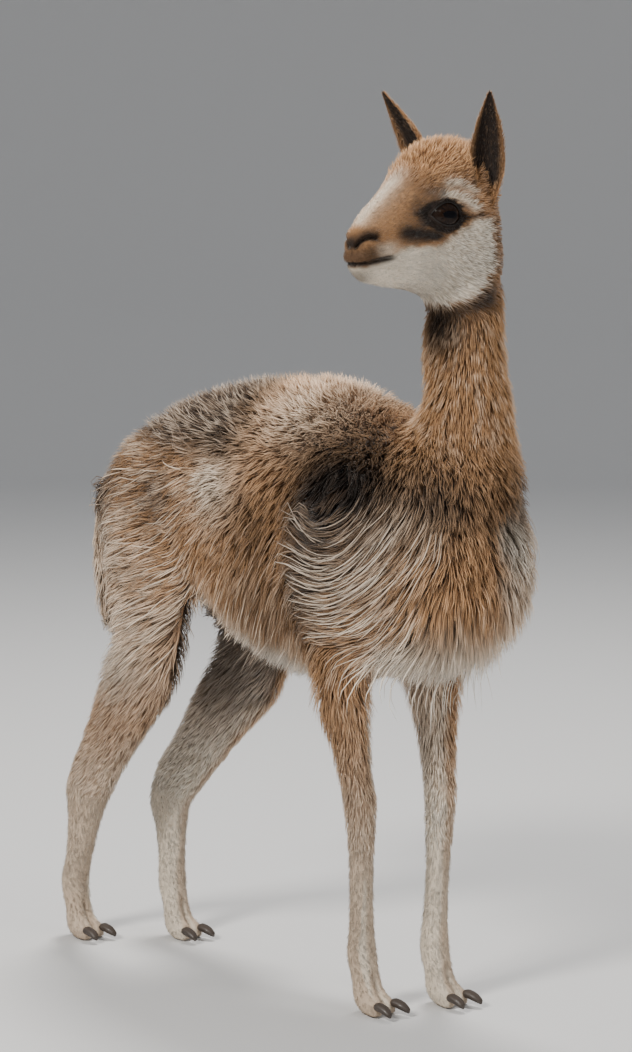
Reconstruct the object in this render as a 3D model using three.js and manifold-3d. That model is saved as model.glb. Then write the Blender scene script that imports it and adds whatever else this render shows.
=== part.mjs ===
// A life-size standing vicuna with its head turned to its right, in millimetres.
// +X points to the animal's front, +Y to its left and +Z up, with the ground at Z = 0.
// Every outline is that of the coat. Flesh is lofted through named stations and parted by thin cuts.
import * as THREE from "three";
import { LoftGeometry } from "three/addons/geometries/LoftGeometry.js";
import { mergeVertices } from "three/addons/utils/BufferGeometryUtils.js";
import Module from "manifold-3d";

const wasm = await Module();
wasm.setup();

// Driving dimensions
const GAP = 0.3; // clearance between neighbouring pieces
const BACK_HEIGHT = 850; // ground to the top of the back
const BELLY_HEIGHT = 436; // ground to the lowest hair of the belly, behind the elbows
const CHEST_FRONT = 454; // feet's middle to the front of the chest
const RUMP_REAR = -328; // feet's middle to the buttocks
const TRUNK_WIDTH = 292;
const NECK_WIDTH = 106; // across the middle of the neck
const HEAD_LENGTH = 240; // nose tip to the back of the head
const HEAD_TURN = 91; // degrees that the head is turned to the animal's right
const HEAD_TILT = 12; // degrees that the nose points below level
const NOSE_TIP = [386, -200, 1010];
const EYE_RADIUS = 22;
const EAR_WIDTH = 49;
const CANNON_WIDTH = 42; // the thin lower length of every leg
const FETLOCK_HEIGHT = 74;
const TOE_LENGTH = 66;
const NAIL_LENGTH = 24;

const LEFT = new THREE.Vector3(0, 1, 0);
const UP = new THREE.Vector3(0, 0, 1);

const COLOURS = {
  fleece: { color: 0xb98a5c, roughness: 0.92, metalness: 0 },
  pale: { color: 0xe6dcc8, roughness: 0.94, metalness: 0 },
  eye: { color: 0x140d09, roughness: 0.12, metalness: 0 },
  nail: { color: 0x2b241f, roughness: 0.5, metalness: 0 },
};

// A smooth run of number triples through the stations, read at 0 to 1.
function run(triples) {
  const points = triples.map((t) => new THREE.Vector3(...t));
  return new THREE.CatmullRomCurve3(points, false, "catmullrom", 0.5);
}

// One ring of a loft: a superellipse on the two axes, wider towards +fore where egg is positive.
function ring(centre, side, fore, size, sides, egg, power) {
  const points = [];
  for (let i = 0; i < sides; i++) {
    const angle = ((i + 0.5) / sides) * 2 * Math.PI;
    const c = Math.cos(angle);
    const s = Math.sin(angle);
    const across = Math.sign(c) * Math.abs(c) ** (2 / power) * size.x * (1 + egg * s);
    const along = Math.sign(s) * Math.abs(s) ** (2 / power) * size.y;
    points.push(centre.clone().addScaledVector(side, across).addScaledVector(fore, along));
  }
  return points;
}

const ROUND_END = [0.97, 0.8, 0.45]; // where the rings of a domed end lie, as shares of its length
const SHORT_END = [0.94, 0.6];
const BLUNT_END = [0.85];
const FLESH_POWER = 2.15; // a section a little squarer than an ellipse

// A loft through stations { at, across, fore, egg }: across is the half size along `side`, fore the half
// size square to it and to the path. Ends are domes, domes[0] and domes[1] long. grow swells it all.
function loft(spec, grow = 0) {
  const { stations, sides, rings, domes, side = LEFT, power = FLESH_POWER, domeSteps = ROUND_END } = spec;
  const path = run(stations.map((s) => s.at));
  const sizes = run(stations.map((s) => [s.across, s.fore, s.egg ?? 0]));
  const sections = [];
  const addRing = (t, shift, scale) => {
    const tangent = path.getTangent(t);
    const centre = path.getPoint(t).addScaledVector(tangent, shift);
    const fore = tangent.clone().cross(side).normalize();
    const across = fore.clone().cross(tangent).normalize();
    const size = sizes.getPoint(t);
    const egg = size.z;
    size.addScalar(grow).multiplyScalar(scale);
    sections.push(ring(centre, across, fore, size, sides, egg, power));
  };
  for (const s of domeSteps) addRing(0, -s * (domes[0] + grow), Math.sqrt(1 - s * s));
  for (let i = 0; i <= rings; i++) addRing(i / rings, 0, 1);
  for (const s of [...domeSteps].reverse()) addRing(1, s * (domes[1] + grow), Math.sqrt(1 - s * s));
  return new LoftGeometry(sections, { capStart: true, capEnd: true });
}

// A closed three.js geometry as a solid that can be joined and cut.
function solid(geometry) {
  const bare = new THREE.BufferGeometry().setAttribute("position", geometry.getAttribute("position"));
  bare.setIndex(geometry.index);
  const merged = mergeVertices(bare, 1e-4);
  return new wasm.Manifold(
    new wasm.Mesh({
      numProp: 3,
      vertProperties: merged.attributes.position.array,
      triVerts: new Uint32Array(merged.index.array),
    }),
  );
}

// The side of a plane that its normal points to, held back from it by half a gap.
function ahead(body, point, normal) {
  const n = new THREE.Vector3(...normal).normalize();
  return body.trimByPlane(n.toArray(), n.dot(new THREE.Vector3(...point)) + GAP / 2);
}

function behind(body, point, normal) {
  return ahead(body, point, normal.map((v) => -v));
}

// The largest separate body of a cut, without the crumbs.
function largest(body) {
  return body.decompose().sort((a, b) => b.volume() - a.volume())[0];
}

const animal = new THREE.Group();

function addNode(name, body, finish) {
  const { vertProperties, triVerts, numProp } = largest(body).getMesh();
  const positions = new Float32Array((vertProperties.length / numProp) * 3);
  for (let i = 0; i < positions.length / 3; i++) {
    positions.set(vertProperties.subarray(i * numProp, i * numProp + 3), i * 3);
  }
  const geometry = new THREE.BufferGeometry();
  geometry.setAttribute("position", new THREE.BufferAttribute(positions, 3));
  geometry.setIndex(new THREE.BufferAttribute(triVerts, 1));
  geometry.computeVertexNormals();
  const mesh = new THREE.Mesh(geometry, new THREE.MeshStandardMaterial(COLOURS[finish]));
  mesh.name = name;
  animal.add(mesh);
}

function mix(a, b, share) {
  return a.map((v, i) => v + (b[i] - v) * share);
}

// Trunk, from the buttocks to the chest: top and bottom are heights, half is the half width.
const TRUNK_RINGS = [
  { x: RUMP_REAR + 10, top: 678, bottom: 580, half: 32 },
  { x: -284, top: 708, bottom: 548, half: 58 },
  { x: -205, top: 760, bottom: 556, half: 88 },
  { x: -105, top: 811, bottom: 550, half: 117 },
  { x: 0, top: 842, bottom: 505, half: 0.48 * TRUNK_WIDTH },
  { x: 95, top: BACK_HEIGHT, bottom: 460, half: TRUNK_WIDTH / 2 },
  { x: 185, top: 842, bottom: 438, half: 0.5 * TRUNK_WIDTH },
  { x: 270, top: 812, bottom: BELLY_HEIGHT, half: 0.49 * TRUNK_WIDTH },
  { x: 345, top: 774, bottom: 452, half: 0.475 * TRUNK_WIDTH },
  { x: 405, top: 734, bottom: 488, half: 0.43 * TRUNK_WIDTH },
  { x: CHEST_FRONT - 12, top: 698, bottom: 524, half: 0.34 * TRUNK_WIDTH },
];
const TRUNK = {
  stations: TRUNK_RINGS.map(({ x, top, bottom, half }) => ({
    at: [x, 0, (top + bottom) / 2],
    across: half,
    fore: (top - bottom) / 2,
    egg: -0.07,
  })),
  sides: 20,
  rings: 13,
  domes: [12, 20],
};

// Neck, from inside the chest up to inside the head; it rises forward, then turns a little to the right.
const NECK_HALF = NECK_WIDTH / 2;
const NECK = {
  stations: [
    { at: [318, 0, 640], across: 122, fore: 124 },
    { at: [364, 2, 712], across: 114, fore: 105 },
    { at: [389, -2, 790], across: 1.38 * NECK_HALF, fore: 1.38 * NECK_HALF },
    { at: [396, -8, 870], across: 1.02 * NECK_HALF, fore: 1.1 * NECK_HALF },
    { at: [397, -10, 950], across: NECK_HALF, fore: 1.02 * NECK_HALF },
    { at: [393, -6, 1020], across: 1.02 * NECK_HALF, fore: 1.02 * NECK_HALF },
    { at: [388, 2, 1066], across: 0.86 * NECK_HALF, fore: 0.86 * NECK_HALF },
  ],
  sides: 16,
  rings: 10,
  domes: [10, 34],
};

// Head frame: forward runs along the muzzle, sideways to the animal's left, above to the crown.
const turn = THREE.MathUtils.degToRad(HEAD_TURN);
const tilt = THREE.MathUtils.degToRad(HEAD_TILT);
const headForward = new THREE.Vector3(
  Math.cos(turn) * Math.cos(tilt),
  -Math.sin(turn) * Math.cos(tilt),
  -Math.sin(tilt),
);
const headLeft = UP.clone().cross(headForward).normalize();
const headAbove = headForward.clone().cross(headLeft);
const noseTip = new THREE.Vector3(...NOSE_TIP);

// A point given by its distance behind the nose tip, to the animal's left and above the muzzle's line.
function headPoint(back, left, above) {
  return noseTip
    .clone()
    .addScaledVector(headForward, -back)
    .addScaledVector(headLeft, left)
    .addScaledVector(headAbove, above)
    .toArray();
}

// Head, from the back of the skull to the nose tip: over and under are the outline above and below it.
const HEAD_RINGS = [
  { back: HEAD_LENGTH - 8, over: 80, under: -62, half: 42, egg: 0.02 },
  { back: 210, over: 103, under: -86, half: 59, egg: 0.02 },
  { back: 178, over: 111, under: -98, half: 66, egg: -0.02 },
  { back: 145, over: 104, under: -98, half: 64, egg: -0.02 },
  { back: 112, over: 90, under: -87, half: 54, egg: 0.02 },
  { back: 80, over: 70, under: -71, half: 40, egg: -0.04 },
  { back: 50, over: 53, under: -59, half: 32, egg: -0.1 },
  { back: 24, over: 40, under: -48, half: 28, egg: -0.04 },
  { back: 6, over: 29, under: -34, half: 23, egg: 0 },
];
const HEAD = {
  stations: HEAD_RINGS.map(({ back, over, under, half, egg }) => ({
    at: headPoint(back, 0, (over + under) / 2),
    across: half,
    fore: (over - under) / 2,
    egg,
  })),
  sides: 16,
  rings: 11,
  side: headLeft,
  domes: [8, 7],
};
const MOUTH_FRONT = headPoint(0, 0, -15);
const MOUTH_NORMAL = headAbove.clone().addScaledVector(headForward, -0.16).toArray();
const EYES = [1, -1].map((s) => headPoint(122, s * 41, 21));

// An ear: crescents stacked from the root to the tip, as wide as a leaf is. turned, in radians, swings its
// hollow from sideways to forward.
function ear({ root, tip, turned, sideways }) {
  const STEPS = 8;
  const ARC_POINTS = 6;
  const ROOT_THICKNESS = 8;
  const TIP_THICKNESS = 5;
  const THIN_EDGE = 0.6; // the rim's thickness as a share of the back's
  const axis = new THREE.Vector3(...tip).sub(new THREE.Vector3(...root));
  const rise = axis.clone().normalize();
  const hollow = headLeft.clone().multiplyScalar(sideways * Math.cos(turned));
  hollow.addScaledVector(headForward, Math.sin(turned));
  hollow.addScaledVector(rise, -hollow.dot(rise)).normalize();
  const width = hollow.clone().cross(rise).normalize();
  const arc = (centre, half, depth, thickness) => {
    const points = [];
    for (let i = 0; i <= ARC_POINTS; i++) {
      const a = (i / ARC_POINTS - 0.5) * Math.PI;
      points.push([half * Math.sin(a), -depth * Math.cos(a)]);
    }
    const inner = Math.max(half - thickness * THIN_EDGE, half * 0.4);
    for (let i = ARC_POINTS - 1; i > 0; i--) {
      const a = (i / ARC_POINTS - 0.5) * Math.PI;
      points.push([inner * Math.sin(a), -(depth - thickness) * Math.cos(a)]);
    }
    return points.map(([w, h]) => centre.clone().addScaledVector(width, w).addScaledVector(hollow, h));
  };
  const sections = [];
  for (let i = 0; i <= STEPS; i++) {
    const t = i / STEPS;
    const leaf = Math.sin(Math.PI * (0.24 + 0.74 * t)) ** 0.85 * (1 - 0.25 * t) + 0.03;
    const half = (EAR_WIDTH / 2) * leaf;
    const depth = Math.max(half * (0.95 - 0.4 * t), TIP_THICKNESS * 0.84);
    const thickness = Math.min(ROOT_THICKNESS + (TIP_THICKNESS - ROOT_THICKNESS) * t, depth * 0.9);
    const bend = TIP_THICKNESS * Math.sin(Math.PI * t);
    const centre = new THREE.Vector3(...root).addScaledVector(axis, t).addScaledVector(hollow, -bend);
    sections.push(arc(centre, half, depth, thickness));
  }
  return new LoftGeometry(sections, { capStart: true, capEnd: true });
}
const EARS = {
  left: { root: headPoint(192, 55, 35), tip: headPoint(213, 66, 160), turned: 0.75, sideways: 1 },
  right: { root: headPoint(186, -46, 46), tip: headPoint(170, -82, 172), turned: 1.45, sideways: -1 },
};

// Tail, hanging from the croup.
const TAIL = {
  stations: [
    { at: [-284, 4, 674], across: 20, fore: 20 },
    { at: [-318, 5, 656], across: 23, fore: 20 },
    { at: [-334, 6, 606], across: 23, fore: 19 },
    { at: [-334, 5, 540], across: 21, fore: 18 },
    { at: [-328, 3, 475], across: 15, fore: 13 },
    { at: [-323, 3, 440], across: 7, fore: 7 },
  ],
  sides: 10,
  rings: 7,
  domes: [8, 10],
};

// Half sizes of a limb at shares of the way between its joints.
const CANNON_HALF = CANNON_WIDTH / 2;
const HIND_PROFILE = [
  { from: "hip", to: "stifle", share: 0, across: 34, fore: 80 },
  { from: "hip", to: "stifle", share: 0.35, across: 50, fore: 103 },
  { from: "hip", to: "stifle", share: 0.72, across: 48, fore: 99 },
  { from: "stifle", to: "hock", share: 0, across: 41, fore: 82 },
  { from: "stifle", to: "hock", share: 0.4, across: 34, fore: 61 },
  { from: "stifle", to: "hock", share: 0.78, across: 28, fore: 47 },
  { from: "hock", to: "fetlock", share: 0, across: 27, fore: 46 },
  { from: "hock", to: "fetlock", share: 0.42, across: CANNON_HALF + 2, fore: CANNON_HALF + 9 },
  { from: "hock", to: "fetlock", share: 0.8, across: CANNON_HALF + 1, fore: CANNON_HALF + 4 },
  { from: "hock", to: "fetlock", share: 1, across: 23, fore: 25 },
];
const FORE_PROFILE = [
  { from: "shoulder", to: "elbow", share: 0, across: 36, fore: 80 },
  { from: "shoulder", to: "elbow", share: 0.5, across: 44, fore: 76 },
  { from: "shoulder", to: "elbow", share: 1, across: 36, fore: 54 },
  { from: "elbow", to: "wrist", share: 0.45, across: 29, fore: 35 },
  { from: "elbow", to: "wrist", share: 0.8, across: 24, fore: 27 },
  { from: "wrist", to: "fetlock", share: 0, across: 25, fore: 27 },
  { from: "wrist", to: "fetlock", share: 0.25, across: CANNON_HALF, fore: CANNON_HALF + 1 },
  { from: "wrist", to: "fetlock", share: 0.75, across: CANNON_HALF - 1, fore: CANNON_HALF },
  { from: "wrist", to: "fetlock", share: 1, across: 23, fore: 24 },
];
const HIND_NAMES = { upper: "thigh", middle: "shank", lower: "cannon" };
const FORE_NAMES = { upper: "shoulder", middle: "forearm", lower: "cannon" };

// The upper piece of a limb is what lies in its side outline, from the trunk's middle outwards. An outline
// runs up the front, over the top and down the back.
const HAUNCH_TOP = [[-145, 722], [-238, 728], [-320, 690], [-372, 600], [-400, 0]];
const SHOULDER_TOP = [[346, 694], [296, 706], [250, 660], [212, 560], [190, 0]];
const LEGS = {
  hind_right: {
    profile: HIND_PROFILE,
    names: HIND_NAMES,
    bend: "hock",
    joints: {
      hip: [-160, -54, 706],
      stifle: [-131, -86, 454],
      hock: [-289, -72, 226],
      fetlock: [-330, -66, FETLOCK_HEIGHT],
    },
    outline: { front: [[-10, 0], [-34, 520], [-72, 640]], top: HAUNCH_TOP },
  },
  hind_left: {
    profile: HIND_PROFILE,
    names: HIND_NAMES,
    bend: "hock",
    joints: {
      hip: [-152, 54, 704],
      stifle: [-82, 84, 446],
      hock: [-249, 52, 208],
      fetlock: [-228, 36, FETLOCK_HEIGHT],
    },
    outline: { front: [[34, 0], [8, 520], [-46, 640]], top: HAUNCH_TOP },
  },
  front_right: {
    profile: FORE_PROFILE,
    names: FORE_NAMES,
    bend: "wrist",
    joints: {
      shoulder: [292, -72, 610],
      elbow: [244, -80, 448],
      wrist: [262, -60, 280],
      fetlock: [256, -52, FETLOCK_HEIGHT],
    },
    outline: { front: [[350, 0], [372, 560], [372, 640]], top: SHOULDER_TOP },
  },
  front_left: {
    profile: FORE_PROFILE,
    names: FORE_NAMES,
    bend: "wrist",
    joints: {
      shoulder: [300, 72, 610],
      elbow: [260, 80, 448],
      wrist: [294, 60, 280],
      fetlock: [292, 50, FETLOCK_HEIGHT],
    },
    outline: { front: [[366, 0], [380, 560], [378, 640]], top: SHOULDER_TOP },
  },
};

function legLoft({ profile, joints }) {
  const stations = profile.map(({ from, to, share, across, fore }) => ({
    at: mix(joints[from], joints[to], share),
    across,
    fore,
  }));
  return { stations, sides: 10, rings: 13, domes: [16, 12], domeSteps: SHORT_END };
}

// A limb's side outline, drawn out sideways from the trunk's middle and swollen by grow.
const OUTLINE_START = 14;
const OUTLINE_DEPTH = 200;
function sideRegion({ outline, joints }, grow) {
  const sign = Math.sign(joints.fetlock[1]);
  const points = [...outline.front, ...outline.top];
  const middle = points.reduce((sum, [x]) => sum + x / points.length, 0);
  const swollen = points.map(([x, z]) => new THREE.Vector2(x + grow * Math.sign(x - middle), z + grow));
  const shape = new THREE.Shape().moveTo(swollen[0].x, swollen[0].y).splineThru(swollen.slice(1));
  const depth = OUTLINE_DEPTH;
  const block = new THREE.ExtrudeGeometry(shape, { depth, bevelEnabled: false, curveSegments: 2 });
  block.rotateX(Math.PI / 2);
  block.translate(0, sign > 0 ? OUTLINE_START + depth - grow : -OUTLINE_START + grow, 0);
  return solid(block);
}

// A foot: a pastern and two toes, cut flat on the ground. The toes point forward and a little apart.
const TOE_HEEL = 8; // each toe's distance sideways from the foot's middle, at the heel and at the tip
const TOE_TIP = 16;
function toeStations([x, y], out) {
  const heel = y + out * TOE_HEEL;
  const front = y + out * TOE_TIP;
  return [
    { at: [x + 4, y + out * 6, FETLOCK_HEIGHT * 0.5], across: 15, fore: 18 },
    { at: [x + 12, heel, 20], across: 15.5, fore: 22 },
    { at: [x + 34, (heel + front) / 2, 10], across: 15, fore: 19 },
    { at: [x + TOE_LENGTH - 16, front, 7], across: 10.5, fore: 13 },
  ];
}

function foot(fetlock) {
  const [x, y, z] = fetlock;
  const pastern = {
    stations: [
      { at: [x, y, z], across: 22.5, fore: 23.5 },
      { at: [x + 7, y, z * 0.62], across: 22, fore: 22 },
      { at: [x + 16, y, z * 0.28], across: 22, fore: 20 },
    ],
    sides: 10,
    rings: 1,
    domes: [10, 6],
    domeSteps: BLUNT_END,
  };
  let body = whole(pastern);
  for (const out of [1, -1]) {
    const stations = toeStations(fetlock, out);
    body = body.add(whole({ stations, sides: 8, rings: 3, domes: [6, 5], domeSteps: BLUNT_END }));
  }
  return body.trimByPlane([0, 0, 1], 0);
}

// A nail: a curved horn over the front of a toe, its tip just clear of the ground.
function nail([x, y], out, grow) {
  const front = y + out * TOE_TIP;
  const start = x + TOE_LENGTH - NAIL_LENGTH * 0.75;
  const stations = [
    { at: [start, front, 15], across: 8, fore: 7.5 },
    { at: [start + NAIL_LENGTH * 0.5, front + out, 11.5], across: 7.4, fore: 7 },
    { at: [start + NAIL_LENGTH * 0.9, front + out * 2, 6.6], across: 4, fore: 3.6 },
  ];
  return solid(loft({ stations, sides: 6, rings: 2, domes: [2, 3], domeSteps: BLUNT_END }, grow));
}

// Solids of the whole lofts, and swollen ones that cut their neighbours
const whole = (spec) => solid(loft(spec));
const cutter = (spec) => solid(loft(spec, GAP));

function buildHead() {
  let flesh = whole(HEAD);
  const eyeball = (centre, radius) => {
    const [segments, bands] = [12, 8];
    const sphere = new THREE.SphereGeometry(radius, segments, bands).rotateX(Math.PI / 2);
    return solid(sphere.translate(...centre));
  };
  EYES.forEach((centre) => {
    flesh = flesh.subtract(eyeball(centre, EYE_RADIUS + 2 * GAP));
  });
  addNode("head", ahead(flesh, MOUTH_FRONT, MOUTH_NORMAL), "fleece");
  addNode("jaw", behind(flesh, MOUTH_FRONT, MOUTH_NORMAL), "pale");
  addNode("eye_left", eyeball(EYES[0], EYE_RADIUS), "eye");
  addNode("eye_right", eyeball(EYES[1], EYE_RADIUS), "eye");
  const headCutter = cutter(HEAD);
  for (const [name, spec] of Object.entries(EARS)) {
    addNode(`ear_${name}`, solid(ear(spec)).subtract(headCutter), "fleece");
  }
}

// The limb below the trunk, parted across its bend and its fetlock.
const LIMB_TOP = [0, 0, 430];
function buildLeg(name, { joints, bend, names }, limb) {
  const { fetlock } = joints;
  const knee = joints[bend];
  const above = Object.values(joints)[1];
  const normal = above.map((v, k) => v - fetlock[k]);
  addNode(`${names.upper}_${name}`, ahead(limb, LIMB_TOP, [0, 0, 1]), "fleece");
  const free = behind(limb, LIMB_TOP, [0, 0, 1]);
  addNode(`${names.middle}_${name}`, ahead(free, knee, normal), "fleece");
  addNode(`${names.lower}_${name}`, ahead(behind(free, knee, normal), fetlock, [0, 0, 1]), "fleece");
  let paw = behind(foot(fetlock), fetlock, [0, 0, 1]);
  for (const [side, out] of [["left", 1], ["right", -1]]) {
    paw = paw.subtract(nail(fetlock, out, GAP));
    addNode(`nail_${name}_${side}`, nail(fetlock, out, 0), "nail");
  }
  addNode(`foot_${name}`, paw, "fleece");
}

// The neck, trunk and limbs are joined first, then parted by planes and the limbs' side outlines.
const NECK_BASE = { at: [380, 0, 728], normal: [0.68, 0, 0.73] };
const NECK_MIDDLE = { at: [401, -9, 900], normal: [0, -0.08, 1] };
const CHEST_REAR = [196, 0, 0];
const RUMP_FRONT = [-84, 0, 0];
function buildBody() {
  let flesh = whole(TRUNK).add(whole(NECK));
  for (const leg of Object.values(LEGS)) flesh = flesh.add(whole(legLoft(leg)));
  flesh = flesh.subtract(cutter(TAIL)).subtract(cutter(HEAD));
  addNode("tail", whole(TAIL), "fleece");
  const neck = ahead(flesh, NECK_BASE.at, NECK_BASE.normal);
  flesh = behind(flesh, NECK_BASE.at, NECK_BASE.normal);
  addNode("neck_upper", ahead(neck, NECK_MIDDLE.at, NECK_MIDDLE.normal), "fleece");
  addNode("neck_lower", behind(neck, NECK_MIDDLE.at, NECK_MIDDLE.normal), "fleece");
  for (const [name, leg] of Object.entries(LEGS)) {
    buildLeg(name, leg, flesh.intersect(sideRegion(leg, 0)));
    flesh = flesh.subtract(sideRegion(leg, GAP));
  }
  const front = ahead(flesh, RUMP_FRONT, [1, 0, 0]);
  addNode("chest", ahead(front, CHEST_REAR, [1, 0, 0]), "pale");
  addNode("barrel", behind(front, CHEST_REAR, [1, 0, 0]), "fleece");
  addNode("rump", behind(flesh, RUMP_FRONT, [1, 0, 0]), "fleece");
}

buildHead();
buildBody();

// Centre the model over the frame's origin, with the soles at Z = 0.
const bounds = new THREE.Box3().setFromObject(animal);
const centre = bounds.getCenter(new THREE.Vector3());
animal.position.set(-centre.x, -centre.y, -bounds.min.z);

export default animal;
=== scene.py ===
"""A life-size standing vicuna: one skin with lids and ears, glossy eyes, horny nails and a woolly coat."""
import math

import bmesh
import bpy
import numpy as np
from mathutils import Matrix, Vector


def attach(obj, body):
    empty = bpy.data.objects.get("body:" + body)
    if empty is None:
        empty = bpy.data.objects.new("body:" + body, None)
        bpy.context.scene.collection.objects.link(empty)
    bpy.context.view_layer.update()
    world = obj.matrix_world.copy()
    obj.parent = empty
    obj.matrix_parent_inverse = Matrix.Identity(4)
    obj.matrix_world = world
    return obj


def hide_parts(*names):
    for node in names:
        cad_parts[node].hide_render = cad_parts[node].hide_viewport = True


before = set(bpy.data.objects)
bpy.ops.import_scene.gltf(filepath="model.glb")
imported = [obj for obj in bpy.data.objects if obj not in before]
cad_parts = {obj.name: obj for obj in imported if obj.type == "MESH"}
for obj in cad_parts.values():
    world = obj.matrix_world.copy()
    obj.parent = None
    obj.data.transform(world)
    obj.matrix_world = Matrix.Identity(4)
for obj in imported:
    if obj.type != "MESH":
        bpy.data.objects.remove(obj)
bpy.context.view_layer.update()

# Camera, fitted to the drawing: its turn from the +Y view, its drop below level and its place in metres
CAMERA_TURN = 46.0
CAMERA_DROP = 6.07
CAMERA_PLACE = (2.864, -2.679, 1.05)
CAMERA_LENS = 98.5
PICTURE_HEIGHT = 36.0  # of the camera's film, in millimetres

# Head, measured as the construction has it
HEAD_TURN = 91.0  # degrees to the animal's right
HEAD_TILT = 12.0  # degrees that the nose points below level
EYE_BACK = 0.122  # eye centres behind the nose tip
EYE_ABOVE = 0.021  # and above the muzzle's middle line

MIDDLE = 0.0275  # the trunk's own middle plane, to the left of the frame's
SKIN_CELL = 0.006  # cell of the skin before the head and feet are refined
LEGS = ("hind_right", "hind_left", "front_right", "front_left")


def unit(vectors):
    """Each vector divided by its length."""
    return vectors / np.maximum(np.linalg.norm(vectors, axis=-1, keepdims=True), 1e-9)


def ease(values, low, high):
    """0 below low, 1 above high, with a smooth cubic between."""
    t = np.clip((values - low) / (high - low), 0, 1)
    return t * t * (3 - 2 * t)


def fade(values, low, high):
    """1 below low, 0 above high, with the same cubic between."""
    return ease(-values, -high, -low)


def between(values, low, full, most, high):
    """1 from full to most, and 0 below low and above high."""
    return ease(values, low, full) * fade(values, most, high)


def bell(distance, width):
    """A smooth hump: 1 at no distance, falling to a third at one width."""
    return np.exp(-((distance / width) ** 2))


def dot(a, b):
    return (a * b).sum(-1)


def ripple(points, size, seed):
    """Smooth noise of about -1 to 1: nine sine waves of lengths near size, each in its own direction."""
    rng = np.random.default_rng(seed)
    waves = unit(rng.normal(size=(9, 3))) * (2 * math.pi / size) * rng.uniform(0.7, 1.4, (9, 1))
    return np.sin(points @ waves.T + rng.uniform(0, 2 * math.pi, 9)).mean(1) * 1.6


def read_rows(rows, key, width, kind=np.float32):
    """One property of all of a mesh's points, edges or corners, as an array of so many columns."""
    values = np.empty(len(rows) * width, kind)
    rows.foreach_get(key, values)
    return values.reshape(-1, width)


def mesh_points(mesh):
    return read_rows(mesh.vertices, "co", 3).astype(float)


def mesh_edges(mesh):
    return read_rows(mesh.edges, "vertices", 2, np.int32)


def mesh_faces(mesh):
    """The corners of each face, on a mesh whose faces all have as many."""
    return read_rows(mesh.loops, "vertex_index", 1, np.int32).reshape(len(mesh.polygons), -1)


def node_points(name):
    return mesh_points(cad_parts[name].data)


def node_middle(name):
    points = node_points(name)
    return (points.min(0) + points.max(0)) / 2


def end_middle(name, top):
    """The middle of a leg length's upper or lower cut."""
    points = node_points(name)
    height = points[:, 2].max() if top else points[:, 2].min()
    near = points[np.abs(points[:, 2] - height) < 0.012]
    return (near.min(0) + near.max(0)) / 2


# Head frame: back is measured from the nose tip, left to the animal's left and above to the crown.
turn, tilt = math.radians(HEAD_TURN), math.radians(HEAD_TILT)
FORWARD = np.array([math.cos(turn) * math.cos(tilt), -math.sin(turn) * math.cos(tilt), -math.sin(tilt)])
LEFTWARD = unit(np.cross([0, 0, 1], FORWARD))
ABOVE = np.cross(FORWARD, LEFTWARD)
EYES = {side: node_middle(f"eye_{side}") for side in ("left", "right")}
EYE_RADIUS = float(np.ptp(node_points("eye_left")[:, 2]) / 2)
NOSE = (EYES["left"] + EYES["right"]) / 2 + EYE_BACK * FORWARD - EYE_ABOVE * ABOVE


def head_place(points):
    """Points as distances behind the nose tip, to the left and above, in millimetres."""
    offset = points - NOSE
    return np.stack([-(offset @ FORWARD), offset @ LEFTWARD, offset @ ABOVE], -1) * 1000


def from_head(back, left, above):
    """The place of a head point given in millimetres."""
    return NOSE + (-back * FORWARD + left * LEFTWARD + above * ABOVE) / 1000


def leg_axes():
    """For each leg, the line through its upper cut, its bend, its fetlock and its toes."""
    axes = {}
    for leg in LEGS:
        middle = "shank_" if leg.startswith("hind") else "forearm_"
        fetlock = end_middle("cannon_" + leg, False)
        toes = node_points("foot_" + leg)
        tip = np.array([toes[:, 0].max() - 0.012, fetlock[1], 0.012])
        bend = end_middle("cannon_" + leg, True)
        axes[leg] = np.array([end_middle(middle + leg, True), bend, fetlock, tip])
    return axes


LEG_AXES = leg_axes()

# Eyes: each looks sideways and a little forward, and its opening is a leaf that dips to the rear
LID_HALF_WIDTH = 25.5  # of the opening, in millimetres over the eyeball, as all sizes about the eyes
LID_TOP = 16.5
LID_BOTTOM = 14.0
LID_DIP = math.radians(-13)
LID_SHAPE = (  # the skin's distance from the eye's middle, by how far it lies outside the opening
    [-3.5, -0.7, 0.35, 1.6, 4.5, 6.2, 8.5, 13, 15, 18],
    [17.5, 19.0, 23.3, 24.3, 24.3, 23.3, 24.6, 24.6, 24.2, 25],
)
RIM_SIZE = ([0, 0.12, 0.5, 0.88, 1], [0.5, 0.8, 0.9, 0.8, 0.5])  # of the moist rim, from corner to corner
RIM_DISTANCE = 23.0  # from the eye's middle
LASH_DISTANCE = 23.6
LID_REACH = 48.0  # how far from the eye's middle the gap to its opening counts
NO_LID = 99.0  # the gap of a point beyond that
CORNEA_RISE = 0.0011  # of the eyeball's clear front, in metres


def eye_frame(side):
    """The eye's directions: out of the head, backwards along the opening, and up across it."""
    sign = 1 if side == "left" else -1
    out = unit(0.24 * FORWARD + 0.96 * sign * LEFTWARD + 0.08 * ABOVE)
    back = unit(-FORWARD - out * dot(-FORWARD, out))
    up = np.cross(back, out) * (1 if dot(np.cross(back, out), ABOVE) > 0 else -1)
    turned = math.cos(LID_DIP) * back + math.sin(LID_DIP) * up
    return out, turned, math.cos(LID_DIP) * up - math.sin(LID_DIP) * back


EYE_FRAMES = {side: eye_frame(side) for side in EYES}


def eye_place(points, side):
    """Distance from the eye's middle, and places back and up over the eyeball, in millimetres."""
    out, back, up = EYE_FRAMES[side]
    offset = (points - EYES[side]) * 1000
    distance = np.maximum(np.linalg.norm(offset, axis=-1), 1e-6)
    radius = EYE_RADIUS * 1000
    around = np.arctan2(offset @ back, offset @ out) * radius
    return distance, around, np.arcsin(np.clip(offset @ up / distance, -1, 1)) * radius


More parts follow.
